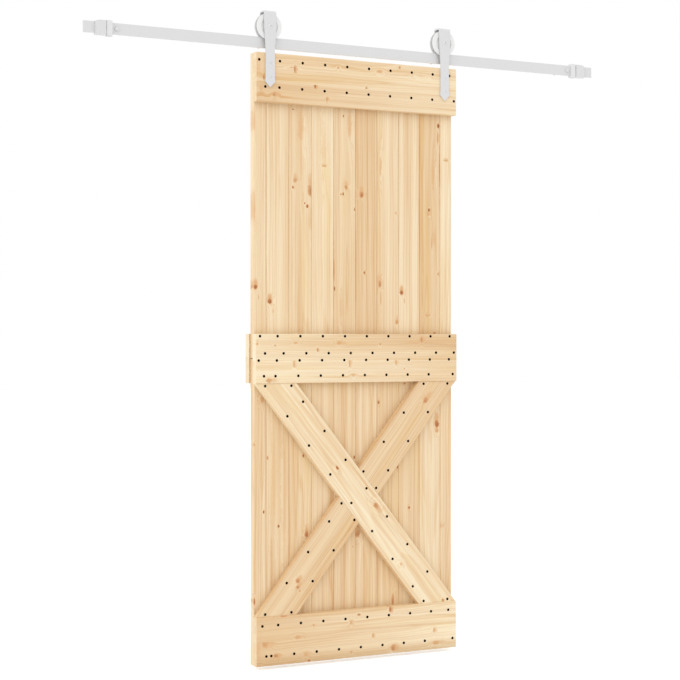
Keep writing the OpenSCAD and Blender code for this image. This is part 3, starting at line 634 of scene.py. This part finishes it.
def tone_ramp(tree, number, tones):
    """Tone of each plank, as a colour ramp with one step a plank."""
    ramp = add_node(tree, "ShaderNodeValToRGB")
    ramp.color_ramp.interpolation = "CONSTANT"
    stops = ramp.color_ramp.elements
    for index, tone in enumerate(tones):
        stop = stops[index] if index < 2 else stops.new(index / PLANK_COUNT)
        stop.position = index / PLANK_COUNT
        level = TONES[tone]
        stop.color = (level, level, level, 1)
    share = sums(tree, "MULTIPLY_ADD", number, 1 / PLANK_COUNT, 0.5 + 0.5 / PLANK_COUNT)
    feed(tree, ramp.inputs["Fac"], share)
    return ramp.outputs["Color"]


def panel_finish(name, tones, marks, seed):
    """Finish for one plank panel."""
    made, tree, shader = new_material(name)
    board_frame = BoardFrame((0, PANEL_MIDDLE_Y, 0), 90)
    place = board_frame.nodes(tree)
    across = vector_sums(tree, "DOT_PRODUCT", place, (1, 0, 0))
    number = sums(tree, "FLOOR", sums(tree, "DIVIDE", across, PLANK_COVER))
    reach, stain = add_marks(tree, board_frame, place, number, marks, plank_number)
    middle = add_node(tree, "ShaderNodeCombineXYZ")
    feed(tree, middle.inputs["X"], sums(tree, "MULTIPLY_ADD", number, PLANK_COVER, PLANK_COVER / 2))
    own_place = vector_sums(tree, "SUBTRACT", place, middle.outputs["Vector"])
    figure = place_group(tree, pine_figure, {
        "Place": own_place, "Board": sums(tree, "ADD", number, seed), "Reach": reach, "Stain": stain,
        "Depth of Tone": tone_ramp(tree, number, tones), "Ring Width": PLANK_RING})
    finish_pine(tree, shader, figure, board_frame.along)
    return made


def dress_panel(half, tones, marks, seed):
    """Gives the planks of the upper or the lower half their finish."""
    planks = [f"{half}_plank_{number}" for number in range(1, PLANK_COUNT + 1)]
    dress(planks, panel_finish(f"{half}_pine", tones, marks, seed))


dress_panel("upper", UPPER_TONES, UPPER_MARKS, seed=31.0)
dress_panel("lower", LOWER_TONES, LOWER_MARKS, seed=63.0)
print("dressed", 2 * PLANK_COUNT, "planks with", len(UPPER_MARKS) + len(LOWER_MARKS), "marks")

# %% [markdown]
# The rails are wide, so each is glued up from two strips, and the glue line shows as a step in tone.
# A rail could be two pieces, but a strip can as well get its number from its side of the glue line.
# The grain runs level, and the tone goes evenly from a strip's left end to its right end.
# A tone below 0 is paler than plain wood.

# %% The rails
TOP_MARKS = [
    (-254, -84, 12, 4, 0.58), (-262, -79, 3, 14, 0.25), (-85, -66, 5, 5, 0.4),
    (81, -67, 6, 11, 0.32), (164, -46, 5, 4, 0.5), (-175, -137, 10, 4, 0.7),
    (-332, -176, 9, 9, 0.45), (-129, -180, 8, 4, 0.45), (27, -132, 10, 3, 0.5),
    (-382, -156, 14, 9, 0.22), (255, -70, 5, 20, 0.15), (-373, -119, 10, 4, 0.5),
    (-394, -82, 28, 12, 0.16),
]
MID_MARKS = [
    (-80, -1029, 7, 12, 0.36), (-166, -1053, 7, 3, 0.55), (255, -1017, 12, 6, 0.48),
    (-397, -1032, 5, 5, 0.32), (-329, -1037, 4, 5, 0.32), (-251, -1029, 5, 9, 0.26),
    (84, -1034, 4, 4, 0.5), (-257, -1102, 14, 4, 0.3), (-39, -1100, 14, 4, 0.32),
    (148, -1099, 10, 5, 0.3), (-352, -1157, 8, 12, 0.38), (-24, -1142, 6, 8, 0.22),
    (183, -1121, 3, 3, 0.35),
]
BOTTOM_MARKS = [
    (-2, -1986, 4, 7, 0.55), (125, -1977, 12, 5, 0.62), (-33, -2011, 8, 5, 0.3),
    (-242, -2045, 7, 12, 0.3), (-367, -2058, 14, 15, 0.38), (138, -2115, 13, 10, 0.48),
    (315, -2111, 7, 16, 0.32), (-212, -2107, 9, 8, 0.26), (-200, -2130, 4, 7, 0.6),
    (-33, -2115, 4, 5, 0.35), (-326, -2102, 7, 9, 0.5), (55, -2063, 9, 4, 0.32),
    (308, -2065, 10, 5, 0.32), (-181, -2009, 4, 4, 0.42), (-296, -1969, 3, 16, 0.45),
    (-394, -2074, 26, 12, 0.18),
]
BACK_MARKS = [
    (-310, -1040, 8, 9, 0.55), (-120, -1120, 6, 8, 0.6), (60, -1030, 10, 12, 0.5),
    (210, -1135, 7, 7, 0.65), (330, -1060, 5, 9, 0.5),
]
LEAF_WIDTH = 0.8
STRIP_STEP = 3.0
RAIL_RING = 0.0045


def tone_along(tree, share, ends):
    """Tone of a strip that goes from its left end to its right end."""
    left, right = ends
    return sums(tree, "MULTIPLY_ADD", share, right - left, left)


def rail_finish(name, node, glue_z, lower_tones, upper_tones, marks, seed):
    """Finish for one rail of two strips, with the tones of each at its left and right ends."""
    made, tree, shader = new_material(name)
    board_frame = BoardFrame((0, middle_of(node).y, glue_z), 0)
    place = board_frame.nodes(tree)
    across = vector_sums(tree, "DOT_PRODUCT", place, (1, 0, 0))
    lower_strip = sums(tree, "GREATER_THAN", across, 0.0)
    reach, stain = add_marks(tree, board_frame, place, lower_strip, marks, lambda a: float(a > 0))
    along = vector_sums(tree, "DOT_PRODUCT", place, (0, 0, 1))
    share = sums(tree, "MULTIPLY_ADD", along, 1 / LEAF_WIDTH, 0.5)
    tone = add_node(tree, "ShaderNodeMix", data_type="FLOAT")
    feed(tree, tone.inputs[0], lower_strip)
    feed(tree, tone.inputs[2], tone_along(tree, share, upper_tones))
    feed(tree, tone.inputs[3], tone_along(tree, share, lower_tones))
    board = sums(tree, "MULTIPLY_ADD", lower_strip, STRIP_STEP, seed)
    figure = place_group(tree, pine_figure, {
        "Place": place, "Board": board, "Reach": reach, "Stain": stain,
        "Depth of Tone": tone.outputs[0], "Ring Width": RAIL_RING})
    finish_pine(tree, shader, figure, board_frame.along)
    dress([node], made)


rail_finish("top_rail_pine", "top_rail", glue_z=-0.133, lower_tones=(0.6, 0.06),
            upper_tones=(0.3, 0.06), marks=TOP_MARKS, seed=101.0)
rail_finish("mid_rail_pine", "mid_rail", glue_z=-1.090, lower_tones=(-0.25, 0.1),
            upper_tones=(-0.1, 0.5), marks=MID_MARKS, seed=113.0)
rail_finish("bottom_rail_pine", "bottom_rail", glue_z=-2.052, lower_tones=(0.75, -0.3),
            upper_tones=(0.8, -0.35), marks=BOTTOM_MARKS, seed=127.0)
rail_finish("back_rail_pine", "back_mid_rail", glue_z=-1.075, lower_tones=(0.4, 0.3),
            upper_tones=(0.1, 0.25), marks=BACK_MARKS, seed=139.0)
print("dressed 4 rails")

# %% [markdown]
# The braces cross the lower panel. The long one runs through, and the other is cut in two and butted
# against it. Their grain follows their length, so each slope needs a frame of its own. It could be
# typed in, but it is measured from the long brace's own box and width, and so it can't be wrong.

# %% The braces
LONG_MARKS = [
    (-86, -1467, 5, 9, 0.7), (70, -1606, 9, 14, 0.5), (173, -1819, 7, 7, 0.2),
    (347, -1961, 5, 6, 0.5),
]
CROSS_MARKS = [
    (274, -1235, 10, 14, 0.5), (-240, -1851, 9, 9, 0.5), (-240, -1873, 8, 8, 0.5),
    (-233, -1886, 4, 4, 0.4),
]
BRACE_WIDTH = 0.120
brace_low, brace_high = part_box("long_brace")
brace_size = brace_high - brace_low
brace_reach = math.hypot(brace_size.x, brace_size.z)
corner_angle = math.atan2(brace_size.z, brace_size.x)
BRACE_SLOPE = math.degrees(corner_angle + math.asin(BRACE_WIDTH / brace_reach))
crossing = middle_of("long_brace")


def brace_finish(name, brace_nodes, slope, tone, marks, seed):
    """Finish for braces whose grain runs at one slope. A tone below 0 is paler."""
    made, tree, shader = new_material(name)
    board_frame = BoardFrame(crossing, slope)
    place = board_frame.nodes(tree)
    reach, stain = add_marks(tree, board_frame, place, seed, marks, lambda a: seed)
    figure = place_group(tree, pine_figure, {
        "Place": place, "Board": seed, "Reach": reach, "Stain": stain, "Depth of Tone": tone,
        "Ring Width": RAIL_RING})
    finish_pine(tree, shader, figure, board_frame.along)
    dress(brace_nodes, made)


brace_finish("long_brace_pine", ["long_brace"], -BRACE_SLOPE, tone=-0.15,
             marks=LONG_MARKS, seed=151.0)
brace_finish("cross_brace_pine", ["upper_cross_brace", "lower_cross_brace"], BRACE_SLOPE, tone=0.45,
             marks=CROSS_MARKS, seed=167.0)
print("braces slope", round(BRACE_SLOPE, 2), "degrees")

# %% [markdown]
# Track, straps, stops and bolts are steel with a baked white powder coat, which dries with a faint
# orange peel. The wheels are moulded nylon, smoother and whiter, and the bumpers are dull rubber.
# Each could have its own tree, but all three need the same thing, a fine dapple that moves roughness
# and height, so that is one shared group.

# %% A dapple for coated and moulded surfaces
CLOUD_SCALE = (14, 14, 14)
CLOUD_DARK = (0.35, 0.36, 0.38, 1)
DAPPLE_BUMP = 0.3


def build_dapple():
    """Group with a fine dapple for moulded and coated surfaces, and a slow cloud for their colour."""
    tree, given, out = new_group(
        "fine_dapple",
        [("Grain Size", "Float", 0.001), ("Colour", "Color", (0.8, 0.8, 0.8, 1)),
         ("Cloud", "Float", 0.04), ("Roughness", "Float", 0.4), ("Roughness Swing", "Float", 0.1)],
        [("Color", "Color"), ("Roughness", "Float"), ("Height", "Float")])
    source = add_node(tree, "ShaderNodeTexCoord").outputs["Object"]
    spread = vector_sums(tree, "SCALE", source)
    feed(tree, spread.node.inputs["Scale"], sums(tree, "DIVIDE", 1.0, given["Grain Size"]))
    peel = cloudy(tree, spread)
    cloud = cloudy(tree, vector_sums(tree, "MULTIPLY", source, CLOUD_SCALE), 3.0, 0.6)
    darker = sums(tree, "MULTIPLY", cloud, given["Cloud"])
    feed(tree, out["Color"], mix_colours(tree, darker, given["Colour"], CLOUD_DARK))
    swing = sums(tree, "SUBTRACT", peel, 0.5)
    rough = sums(tree, "MULTIPLY_ADD", swing, given["Roughness Swing"], given["Roughness"])
    feed(tree, out["Roughness"], rough)
    feed(tree, out["Height"], peel)
    return tree


fine_dapple = build_dapple()


def dappled_finish(name, colour, cloud, grain, roughness, swing, relief, gloss, face_shade, edge_shade):
    """A coated or moulded finish. Its colour is plain, or a function that builds nodes for it."""
    made, tree, shader = new_material(name)
    coat = place_group(tree, fine_dapple, {
        "Colour": colour(tree) if callable(colour) else colour, "Cloud": cloud,
        "Grain Size": grain, "Roughness": roughness, "Roughness Swing": swing})
    # Painted shade: the corner group darkens the colour in corners and next to other parts.
    shaded = place_group(tree, corner_shade, {
        "Color": coat["Color"], "On Faces": face_shade, "On Edges": edge_shade, "Width": 0.02})
    feed(tree, shader.inputs["Base Color"], shaded["Color"])
    feed(tree, shader.inputs["Roughness"], coat["Roughness"])
    shader.inputs["Specular IOR Level"].default_value = gloss
    add_bump(tree, shader, coat["Height"], DAPPLE_BUMP, relief)
    return made


print("made", fine_dapple.name, "with", len(fine_dapple.nodes), "nodes")

# %% [markdown]
# The wheels' groove is painted grey: painted shade in the recess between the flanges. A ring of other
# faces could be cut for that, but the groove is just the part of the wheel next to its mid plane,
# so a distance along Y finds it.

# %% White coat, nylon and rubber
WHEEL_MIDDLE = middle_of("wheel_left")
GROOVE_HALF = 0.0070
NYLON_WHITE = shade(242, 242, 241)
GROOVE_SHADE = shade(214, 214, 215)


def shaded_groove(tree):
    """White nylon with painted shade inside the groove."""
    source = add_node(tree, "ShaderNodeTexCoord").outputs["Object"]
    depth = vector_sums(tree, "DOT_PRODUCT", source, THROUGH)
    aside = sums(tree, "ABSOLUTE", sums(tree, "SUBTRACT", depth, WHEEL_MIDDLE.y))
    in_groove = soft_step(tree, aside, GROOVE_HALF, GROOVE_HALF + MM, 1.0, 0.0)
    # Painted shade: the groove between the flanges is greyed.
    return mix_colours(tree, in_groove, NYLON_WHITE, GROOVE_SHADE)


white_coat = dappled_finish(
    "white_coat", shade(226, 226, 227), cloud=0.03, grain=0.0016, roughness=0.42, swing=0.12,
    relief=0.00012, gloss=0.4, face_shade=0.3, edge_shade=0.05)
white_nylon = dappled_finish(
    "white_nylon", shaded_groove, cloud=0.03, grain=0.0009, roughness=0.34, swing=0.1,
    relief=0.00005, gloss=0.4, face_shade=0.15, edge_shade=0.15)
pale_rubber = dappled_finish(
    "pale_rubber", shade(233, 233, 233), cloud=0.04, grain=0.0006, roughness=0.7, swing=0.15,
    relief=0.0001, gloss=0.3, face_shade=0.4, edge_shade=0.1)
COATED = ["track_bar", "standoffs", "track_bolts", "track_washers", "end_stop_left",
          "end_stop_right", "stop_set_screws", "hanger_strap_left", "hanger_strap_right",
          "hanger_bolts", "hanger_washers", "hanger_nuts", "axle_bolts", "axle_nuts"]
dress(COATED, white_coat)
dress(["wheel_left", "wheel_right"], white_nylon)
dress(["bumper_left", "bumper_right"], pale_rubber)
print("dressed", len(COATED), "coated pieces, 2 wheels and 2 bumpers")

# %% [markdown]
# Each wheel turns on a ball bearing of bare ground steel. Grinding leaves fine rings around the
# axle, which need no picture: noise on the distance from the axle's line gives them on every face.
# The door is the same on both sides of its middle, so the left wheel is folded onto the right one.

# %% Bright bearing steel
AXLE_X = middle_of("wheel_right").x
AXLE_Z = WHEEL_MIDDLE.z
GRIND_RATE = 4000.0
STEEL_DULL = shade(188, 191, 196)
STEEL_BRIGHT = shade(214, 216, 219)


def ground_steel(name):
    """Bright steel with faint grinding rings around each axle."""
    made, tree, shader = new_material(name)
    source = add_node(tree, "ShaderNodeTexCoord").outputs["Object"]
    folded = vector_sums(tree, "ABSOLUTE", vector_sums(tree, "MULTIPLY", source, (1, 0, 1)))
    spoke = vector_sums(tree, "SUBTRACT", folded, (AXLE_X, 0, AXLE_Z))
    rings = add_node(tree, "ShaderNodeTexNoise", noise_dimensions="1D")
    feed(tree, rings.inputs["W"],
         sums(tree, "MULTIPLY", vector_sums(tree, "LENGTH", spoke), GRIND_RATE))
    rings.inputs["Scale"].default_value = 1.0
    tone = mix_colours(tree, rings.outputs["Fac"], STEEL_DULL, STEEL_BRIGHT)
    feed(tree, shader.inputs["Base Color"], tone)
    feed(tree, shader.inputs["Roughness"],
         sums(tree, "MULTIPLY_ADD", rings.outputs["Fac"], 0.2, 0.2))
    shader.inputs["Metallic"].default_value = 1.0
    return made


dress(["axle_spacers", "bearing_inner_races", "bearing_outer_race_left", "bearing_outer_race_right",
       "bearing_balls_left", "bearing_balls_right"], ground_steel("ground_steel"))
print("axles at x", round(AXLE_X, 4), "and z", round(AXLE_Z, 4))

# %% [markdown]
# Rows of black wood screws hold the boards together: a countersunk head, flush with the wood,
# with a cross recess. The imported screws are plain, so one finer screw is modelled in mesh code,
# and Geometry Nodes drive a copy in at every place.
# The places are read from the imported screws, so that they can't drift apart from the drilled holes.

# %% One wood screw
SCREW_LENGTH = 0.041
HEAD_R = 0.005
RIM_R = 0.0048
RIM_DROP = 0.0002
SHANK_R = 0.0022
HEAD_DEPTH = 0.003
RECESS_DEPTH = 0.0017
ARM_LONG = 0.0026
ARM_HALF = 0.00055
RECESS_LONG = 0.0013
RECESS_HALF = 0.00033
SCREW_SIDES = 16


def ring_of(bm, radius, z, sides):
    """A closed loop of points at one height, and its edges."""
    points = []
    for step in range(sides):
        turn = 2 * math.pi * step / sides
        points.append(bm.verts.new((radius * math.cos(turn), radius * math.sin(turn), z)))
    return loop_edges(bm, points)


def loop_edges(bm, points):
    """Edges that close a list of points into a loop."""
    return [bm.edges.new((points[i - 1], points[i])) for i in range(len(points))]


def cross_outline(bm, long_half, half, z):
    """Loop of a cross recess at one height."""
    corner = [(long_half, -half), (long_half, half), (half, half)]
    points = []
    for quarter in range(4):
        cos = math.cos(quarter * math.pi / 2)
        sin = math.sin(quarter * math.pi / 2)
        for x, y in corner:
            points.append(bm.verts.new((x * cos - y * sin, x * sin + y * cos, z)))
    return loop_edges(bm, points)


def screw_mesh(length):
    """A wood screw along -Z, with its head's face at z = 0."""
    bm = bmesh.new()
    floor_of_recess = cross_outline(bm, RECESS_LONG, RECESS_HALF, -RECESS_DEPTH)
    mouth = cross_outline(bm, ARM_LONG, ARM_HALF, 0)
    rim = ring_of(bm, RIM_R, 0, SCREW_SIDES)
    edge = ring_of(bm, HEAD_R, -RIM_DROP, SCREW_SIDES)
    neck = ring_of(bm, SHANK_R, -HEAD_DEPTH, SCREW_SIDES)
    shank_end = ring_of(bm, SHANK_R, -length + 2 * SHANK_R, SCREW_SIDES)
    tip = ring_of(bm, SHANK_R / 4, -length, SCREW_SIDES)
    rows = [floor_of_recess, mouth, rim, edge, neck, shank_end, tip]
    for upper, lower in zip(rows, rows[1:]):
        bmesh.ops.bridge_loops(bm, edges=upper + lower)
    bmesh.ops.contextual_create(bm, geom=floor_of_recess)
    bmesh.ops.contextual_create(bm, geom=tip)
    bmesh.ops.recalc_face_normals(bm, faces=bm.faces)
    mesh = bpy.data.meshes.new("wood_screw")
    bm.to_mesh(mesh)
    bm.free()
    return mesh


screw_shape = bpy.data.objects.new("wood_screw_shape", screw_mesh(SCREW_LENGTH))
print("one screw has", len(screw_shape.data.polygons), "faces")

# %% [markdown]
# A packed screw node is one mesh with many screws in it. Their heads all lie in one plane, and they
# stand further apart than a head is wide, so the points of that plane gather into one place a screw.
# The places could be typed in again, but then they would have to be kept in step by hand.

# %% Where the screws are
GATHER = 0.012
SAME_PLANE = 1e-5


def head_places(node, plane_y):
    """Middles of the round faces that a node has in one plane."""
    found = []
    for vertex in cad[node].data.vertices:
        point = vertex.co
        if abs(point.y - plane_y) > SAME_PLANE:
            continue
        for low, high in found:
            away = point - (low + high) / 2
            if max(abs(away.x), abs(away.z)) < GATHER:
                low.x, low.z = min(low.x, point.x), min(low.z, point.z)
                high.x, high.z = max(high.x, point.x), max(high.z, point.z)
                break
        else:
            found.append((point.copy(), point.copy()))
    return [(low + high) / 2 for low, high in found]


FRONT = Vector((0, -1, 0))
BACK = Vector((0, 1, 0))
screw_places = []
for node in ("top_rail_screws", "mid_rail_screws", "bottom_rail_screws", "brace_screws"):
    screw_places += [(place, FRONT) for place in head_places(node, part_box(node)[0].y)]
back_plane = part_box("back_rail_screws")[1].y
screw_places += [(place, BACK) for place in head_places("back_rail_screws", back_plane)]
print("found", len(screw_places), "screws")

# %% [markdown]
# The tree below stands a copy of a shape on every point, turns it to face along the point's own
# direction, and spins it by a random but fixed amount, because no one lines up the slots of a hundred
# screws. A loop in Python could place them too, but the tree keeps its seed and turn as named inputs.

# %% A tree that sets fasteners on points
def points_object(name, places):
    """A mesh of loose points, each with the direction that it faces."""
    mesh = bpy.data.meshes.new(name)
    mesh.from_pydata([place for place, facing in places], [], [])
    facing_data = mesh.attributes.new("facing", "FLOAT_VECTOR", "POINT")
    for index, (place, facing) in enumerate(places):
        facing_data.data[index].vector = facing
    made = bpy.data.objects.new(name, mesh)
    bpy.context.scene.collection.objects.link(made)
    return made


def build_fastener_tree():
    """Geometry Nodes tree with a shape, a finish, a seed and a turn as its inputs."""
    tree = bpy.data.node_groups.new("set_fasteners", "GeometryNodeTree")
    sockets = {}
    for label, kind in (("Points", "Geometry"), ("Shape", "Object"), ("Finish", "Material"),
                        ("Seed", "Int"), ("Most Turn", "Float")):
        sockets[label] = tree.interface.new_socket(
            name=label, in_out="INPUT", socket_type="NodeSocket" + kind)
    tree.interface.new_socket(
        name="Fasteners", in_out="OUTPUT", socket_type="NodeSocketGeometry")
    given = add_node(tree, "NodeGroupInput").outputs
    facing = add_node(tree, "GeometryNodeInputNamedAttribute", data_type="FLOAT_VECTOR")
    facing.inputs["Name"].default_value = "facing"
    aim = add_node(tree, "FunctionNodeAlignRotationToVector", axis="Z")
    feed(tree, aim.inputs["Vector"], facing.outputs["Attribute"])
    spin = add_node(tree, "FunctionNodeRandomValue", data_type="FLOAT")
    feed(tree, spin.inputs[3], given["Most Turn"])
    feed(tree, spin.inputs["Seed"], given["Seed"])
    twist = add_node(tree, "FunctionNodeAxisAngleToRotation")
    twist.inputs["Axis"].default_value = (0, 0, 1)
    feed(tree, twist.inputs["Angle"], spin.outputs[1])
    turned = add_node(tree, "FunctionNodeRotateRotation", rotation_space="LOCAL")
    feed(tree, turned.inputs["Rotation"], aim.outputs["Rotation"])
    feed(tree, turned.inputs["Rotate By"], twist.outputs["Rotation"])
    shape = add_node(tree, "GeometryNodeObjectInfo")
    feed(tree, shape.inputs["Object"], given["Shape"])
    copies = add_node(tree, "GeometryNodeInstanceOnPoints")
    feed(tree, copies.inputs["Points"], given["Points"])
    feed(tree, copies.inputs["Instance"], shape.outputs["Geometry"])
    feed(tree, copies.inputs["Rotation"], turned.outputs["Rotation"])
    real = add_node(tree, "GeometryNodeRealizeInstances")
    feed(tree, real.inputs["Geometry"], copies.outputs["Instances"])
    coated = add_node(tree, "GeometryNodeSetMaterial")
    feed(tree, coated.inputs["Geometry"], real.outputs["Geometry"])
    feed(tree, coated.inputs["Material"], given["Finish"])
    feed(tree, add_node(tree, "NodeGroupOutput").inputs["Fasteners"], coated.outputs["Geometry"])
    return tree, {label: socket.identifier for label, socket in sockets.items()}


fastener_tree, fastener_inputs = build_fastener_tree()
print("made", fastener_tree.name, "with", len(fastener_tree.nodes), "nodes")

# %% [markdown]
# The tree could stay live on the points, but a plain mesh made from its result suits any export.
# The screws have a thin, dull brown-black coat, which a fine mottle keeps from looking like a hole.

# %% Set the wood screws
SPIN_SEED = 7
FULL_TURN = 2 * math.pi
COAT_BLACK = shade(22, 11, 4)
COAT_BROWN = shade(38, 21, 10)
COAT_GLOSS = 0.06
MOTTLE_SCALE = (1400, 1400, 1400)


def set_fasteners(name, places, shape, finish, seed, most_turn):
    """One plain mesh with a fastener at every place."""
    made = points_object(name, places)
    modifier = made.modifiers.new("set", "NODES")
    modifier.node_group = fastener_tree
    values = {"Shape": shape, "Finish": finish, "Seed": seed, "Most Turn": most_turn}
    for label, value in values.items():
        modifier[fastener_inputs[label]] = value
    bpy.context.view_layer.update()
    evaluated = made.evaluated_get(bpy.context.evaluated_depsgraph_get())
    mesh = bpy.data.meshes.new_from_object(evaluated)
    made.modifiers.clear()
    made.data = mesh
    bpy.data.objects.remove(shape)
    return made


def black_phosphate(name):
    """Black screw finish: a thin, dull brown-black coat."""
    made, tree, shader = new_material(name)
    source = add_node(tree, "ShaderNodeTexCoord").outputs["Object"]
    mottle = cloudy(tree, vector_sums(tree, "MULTIPLY", source, MOTTLE_SCALE))
    feed(tree, shader.inputs["Base Color"], mix_colours(tree, mottle, COAT_BLACK, COAT_BROWN))
    feed(tree, shader.inputs["Roughness"], sums(tree, "MULTIPLY_ADD", mottle, 0.2, 0.6))
    shader.inputs["Specular IOR Level"].default_value = COAT_GLOSS
    return made


wood_screws = set_fasteners("wood_screws", screw_places, screw_shape,
                            black_phosphate("black_phosphate"), SPIN_SEED, FULL_TURN)
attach(wood_screws, "door")
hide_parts("top_rail_screws", "mid_rail_screws", "bottom_rail_screws", "brace_screws",
            "back_rail_screws")
print("wood screws:", len(wood_screws.data.polygons), "faces")

# %% [markdown]
# The photograph has plain white all round, and soft light that comes a little from the left.
# A white world gives nearly all of the light, evenly from all sides, and one broad, weak sun adds
# the direction. A lamp near the door could do that too, but its light would fall off down the door.
# The world is a touch whiter for the camera and for reflections than for the light that it sheds,
# so the background is pure white and the door keeps its own colours.

# %% Light and background
WORLD_LIGHT = 0.99
SUN_FROM = Vector((-1.0, -0.3, 0.3))
SUN_STRENGTH = 0.4
SUN_SOFTNESS = math.radians(60)


def seen_rays(tree):
    """1 for rays that are seen: from the camera, in a reflection or through glass."""
    light_path = add_node(tree, "ShaderNodeLightPath").outputs
    shiny = sums(tree, "MAXIMUM", light_path["Is Glossy Ray"], light_path["Is Transmission Ray"])
    return sums(tree, "MAXIMUM", light_path["Is Camera Ray"], shiny)


world = bpy.data.worlds.new("studio")
bpy.context.scene.world = world
world.use_nodes = True
world_tree = world.node_tree
backdrop = world_tree.nodes["Background"]
backdrop.inputs["Color"].default_value = (1, 1, 1, 1)
feed(world_tree, backdrop.inputs["Strength"],
     sums(world_tree, "MULTIPLY_ADD", seen_rays(world_tree), 1 - WORLD_LIGHT, WORLD_LIGHT))

sun = bpy.data.objects.new("soft_key", bpy.data.lights.new("soft_key", "SUN"))
sun.data.energy = SUN_STRENGTH
sun.data.angle = SUN_SOFTNESS
sun.rotation_euler = SUN_FROM.to_track_quat("Z", "Y").to_euler()
bpy.context.scene.collection.objects.link(sun)
bpy.context.scene.view_settings.view_transform = "Standard"
print("sun from", [round(part, 2) for part in SUN_FROM.normalized()])

# %% [markdown]
# The floor lies just under the door, as in a room. It is pale and catches the door's shadow.
# A brighter lamp could whiten it, but would bleach the door. A little light of its own, for seen rays
# only, lifts the floor to the white of the background without lighting the door.

# %% The floor
FLOOR_GAP = 0.012
FLOOR_HALF = 30.0
FLOOR_LIFT = 0.5
FLOOR_CLOUD = (6, 6, 6)
FLOOR_GREY = shade(238, 238, 238)
FLOOR_PALE = shade(243, 243, 243)


def floor_finish():
    """Pale floor, lifted to white where it is seen."""
    made, tree, shader = new_material("pale_floor")
    source = add_node(tree, "ShaderNodeTexCoord").outputs["Object"]
    tone = cloudy(tree, vector_sums(tree, "MULTIPLY", source, FLOOR_CLOUD), 3.0)
    feed(tree, shader.inputs["Base Color"], mix_colours(tree, tone, FLOOR_GREY, FLOOR_PALE))
    shader.inputs["Roughness"].default_value = 0.9
    shader.inputs["Specular IOR Level"].default_value = 0.1
    shader.inputs["Emission Color"].default_value = (1, 1, 1, 1)
    lift = sums(tree, "MULTIPLY", seen_rays(tree), FLOOR_LIFT)
    feed(tree, shader.inputs["Emission Strength"], lift)
    return made


floor_z = cad_box[0].z - FLOOR_GAP
floor_mesh = bpy.data.meshes.new("floor")
floor_mesh.from_pydata(
    [(-FLOOR_HALF, -FLOOR_HALF, floor_z), (FLOOR_HALF, -FLOOR_HALF, floor_z),
     (FLOOR_HALF, FLOOR_HALF, floor_z), (-FLOOR_HALF, FLOOR_HALF, floor_z)], [], [(0, 1, 2, 3)])
floor_mesh.materials.append(floor_finish())
floor = bpy.data.objects.new("floor", floor_mesh)
bpy.context.scene.collection.objects.link(floor)
print("floor at", round(floor_z, 3))

# %% [markdown]
# The photograph was taken with a level camera at half the door's height, from the left of it.
# Its place and lens come from where the edges of the leaf and the track fall in the picture,
# with the leaf taken as 80 by 210 cm.

# %% The camera
PICTURE_SIZE = 680
FOCAL_PIXELS = 1667.9
HORIZON_PIXEL = 338.67
CAMERA_PLACE = (-2.8253, -5.2449, -1.0141)
CAMERA_TURN = math.radians(28.076)
SENSOR = 36.0
VIEW_END = 200.0

camera_data = bpy.data.cameras.new("camera")
camera_data.sensor_width = SENSOR
camera_data.lens = SENSOR * FOCAL_PIXELS / PICTURE_SIZE
camera_data.shift_y = (HORIZON_PIXEL - PICTURE_SIZE / 2) / PICTURE_SIZE
camera_data.clip_end = VIEW_END
camera = bpy.data.objects.new("camera", camera_data)
camera.location = CAMERA_PLACE
camera.rotation_euler = (math.pi / 2, 0, -CAMERA_TURN)
bpy.context.scene.collection.objects.link(camera)
bpy.context.scene.camera = camera
print("lens", round(camera_data.lens, 2), "mm")
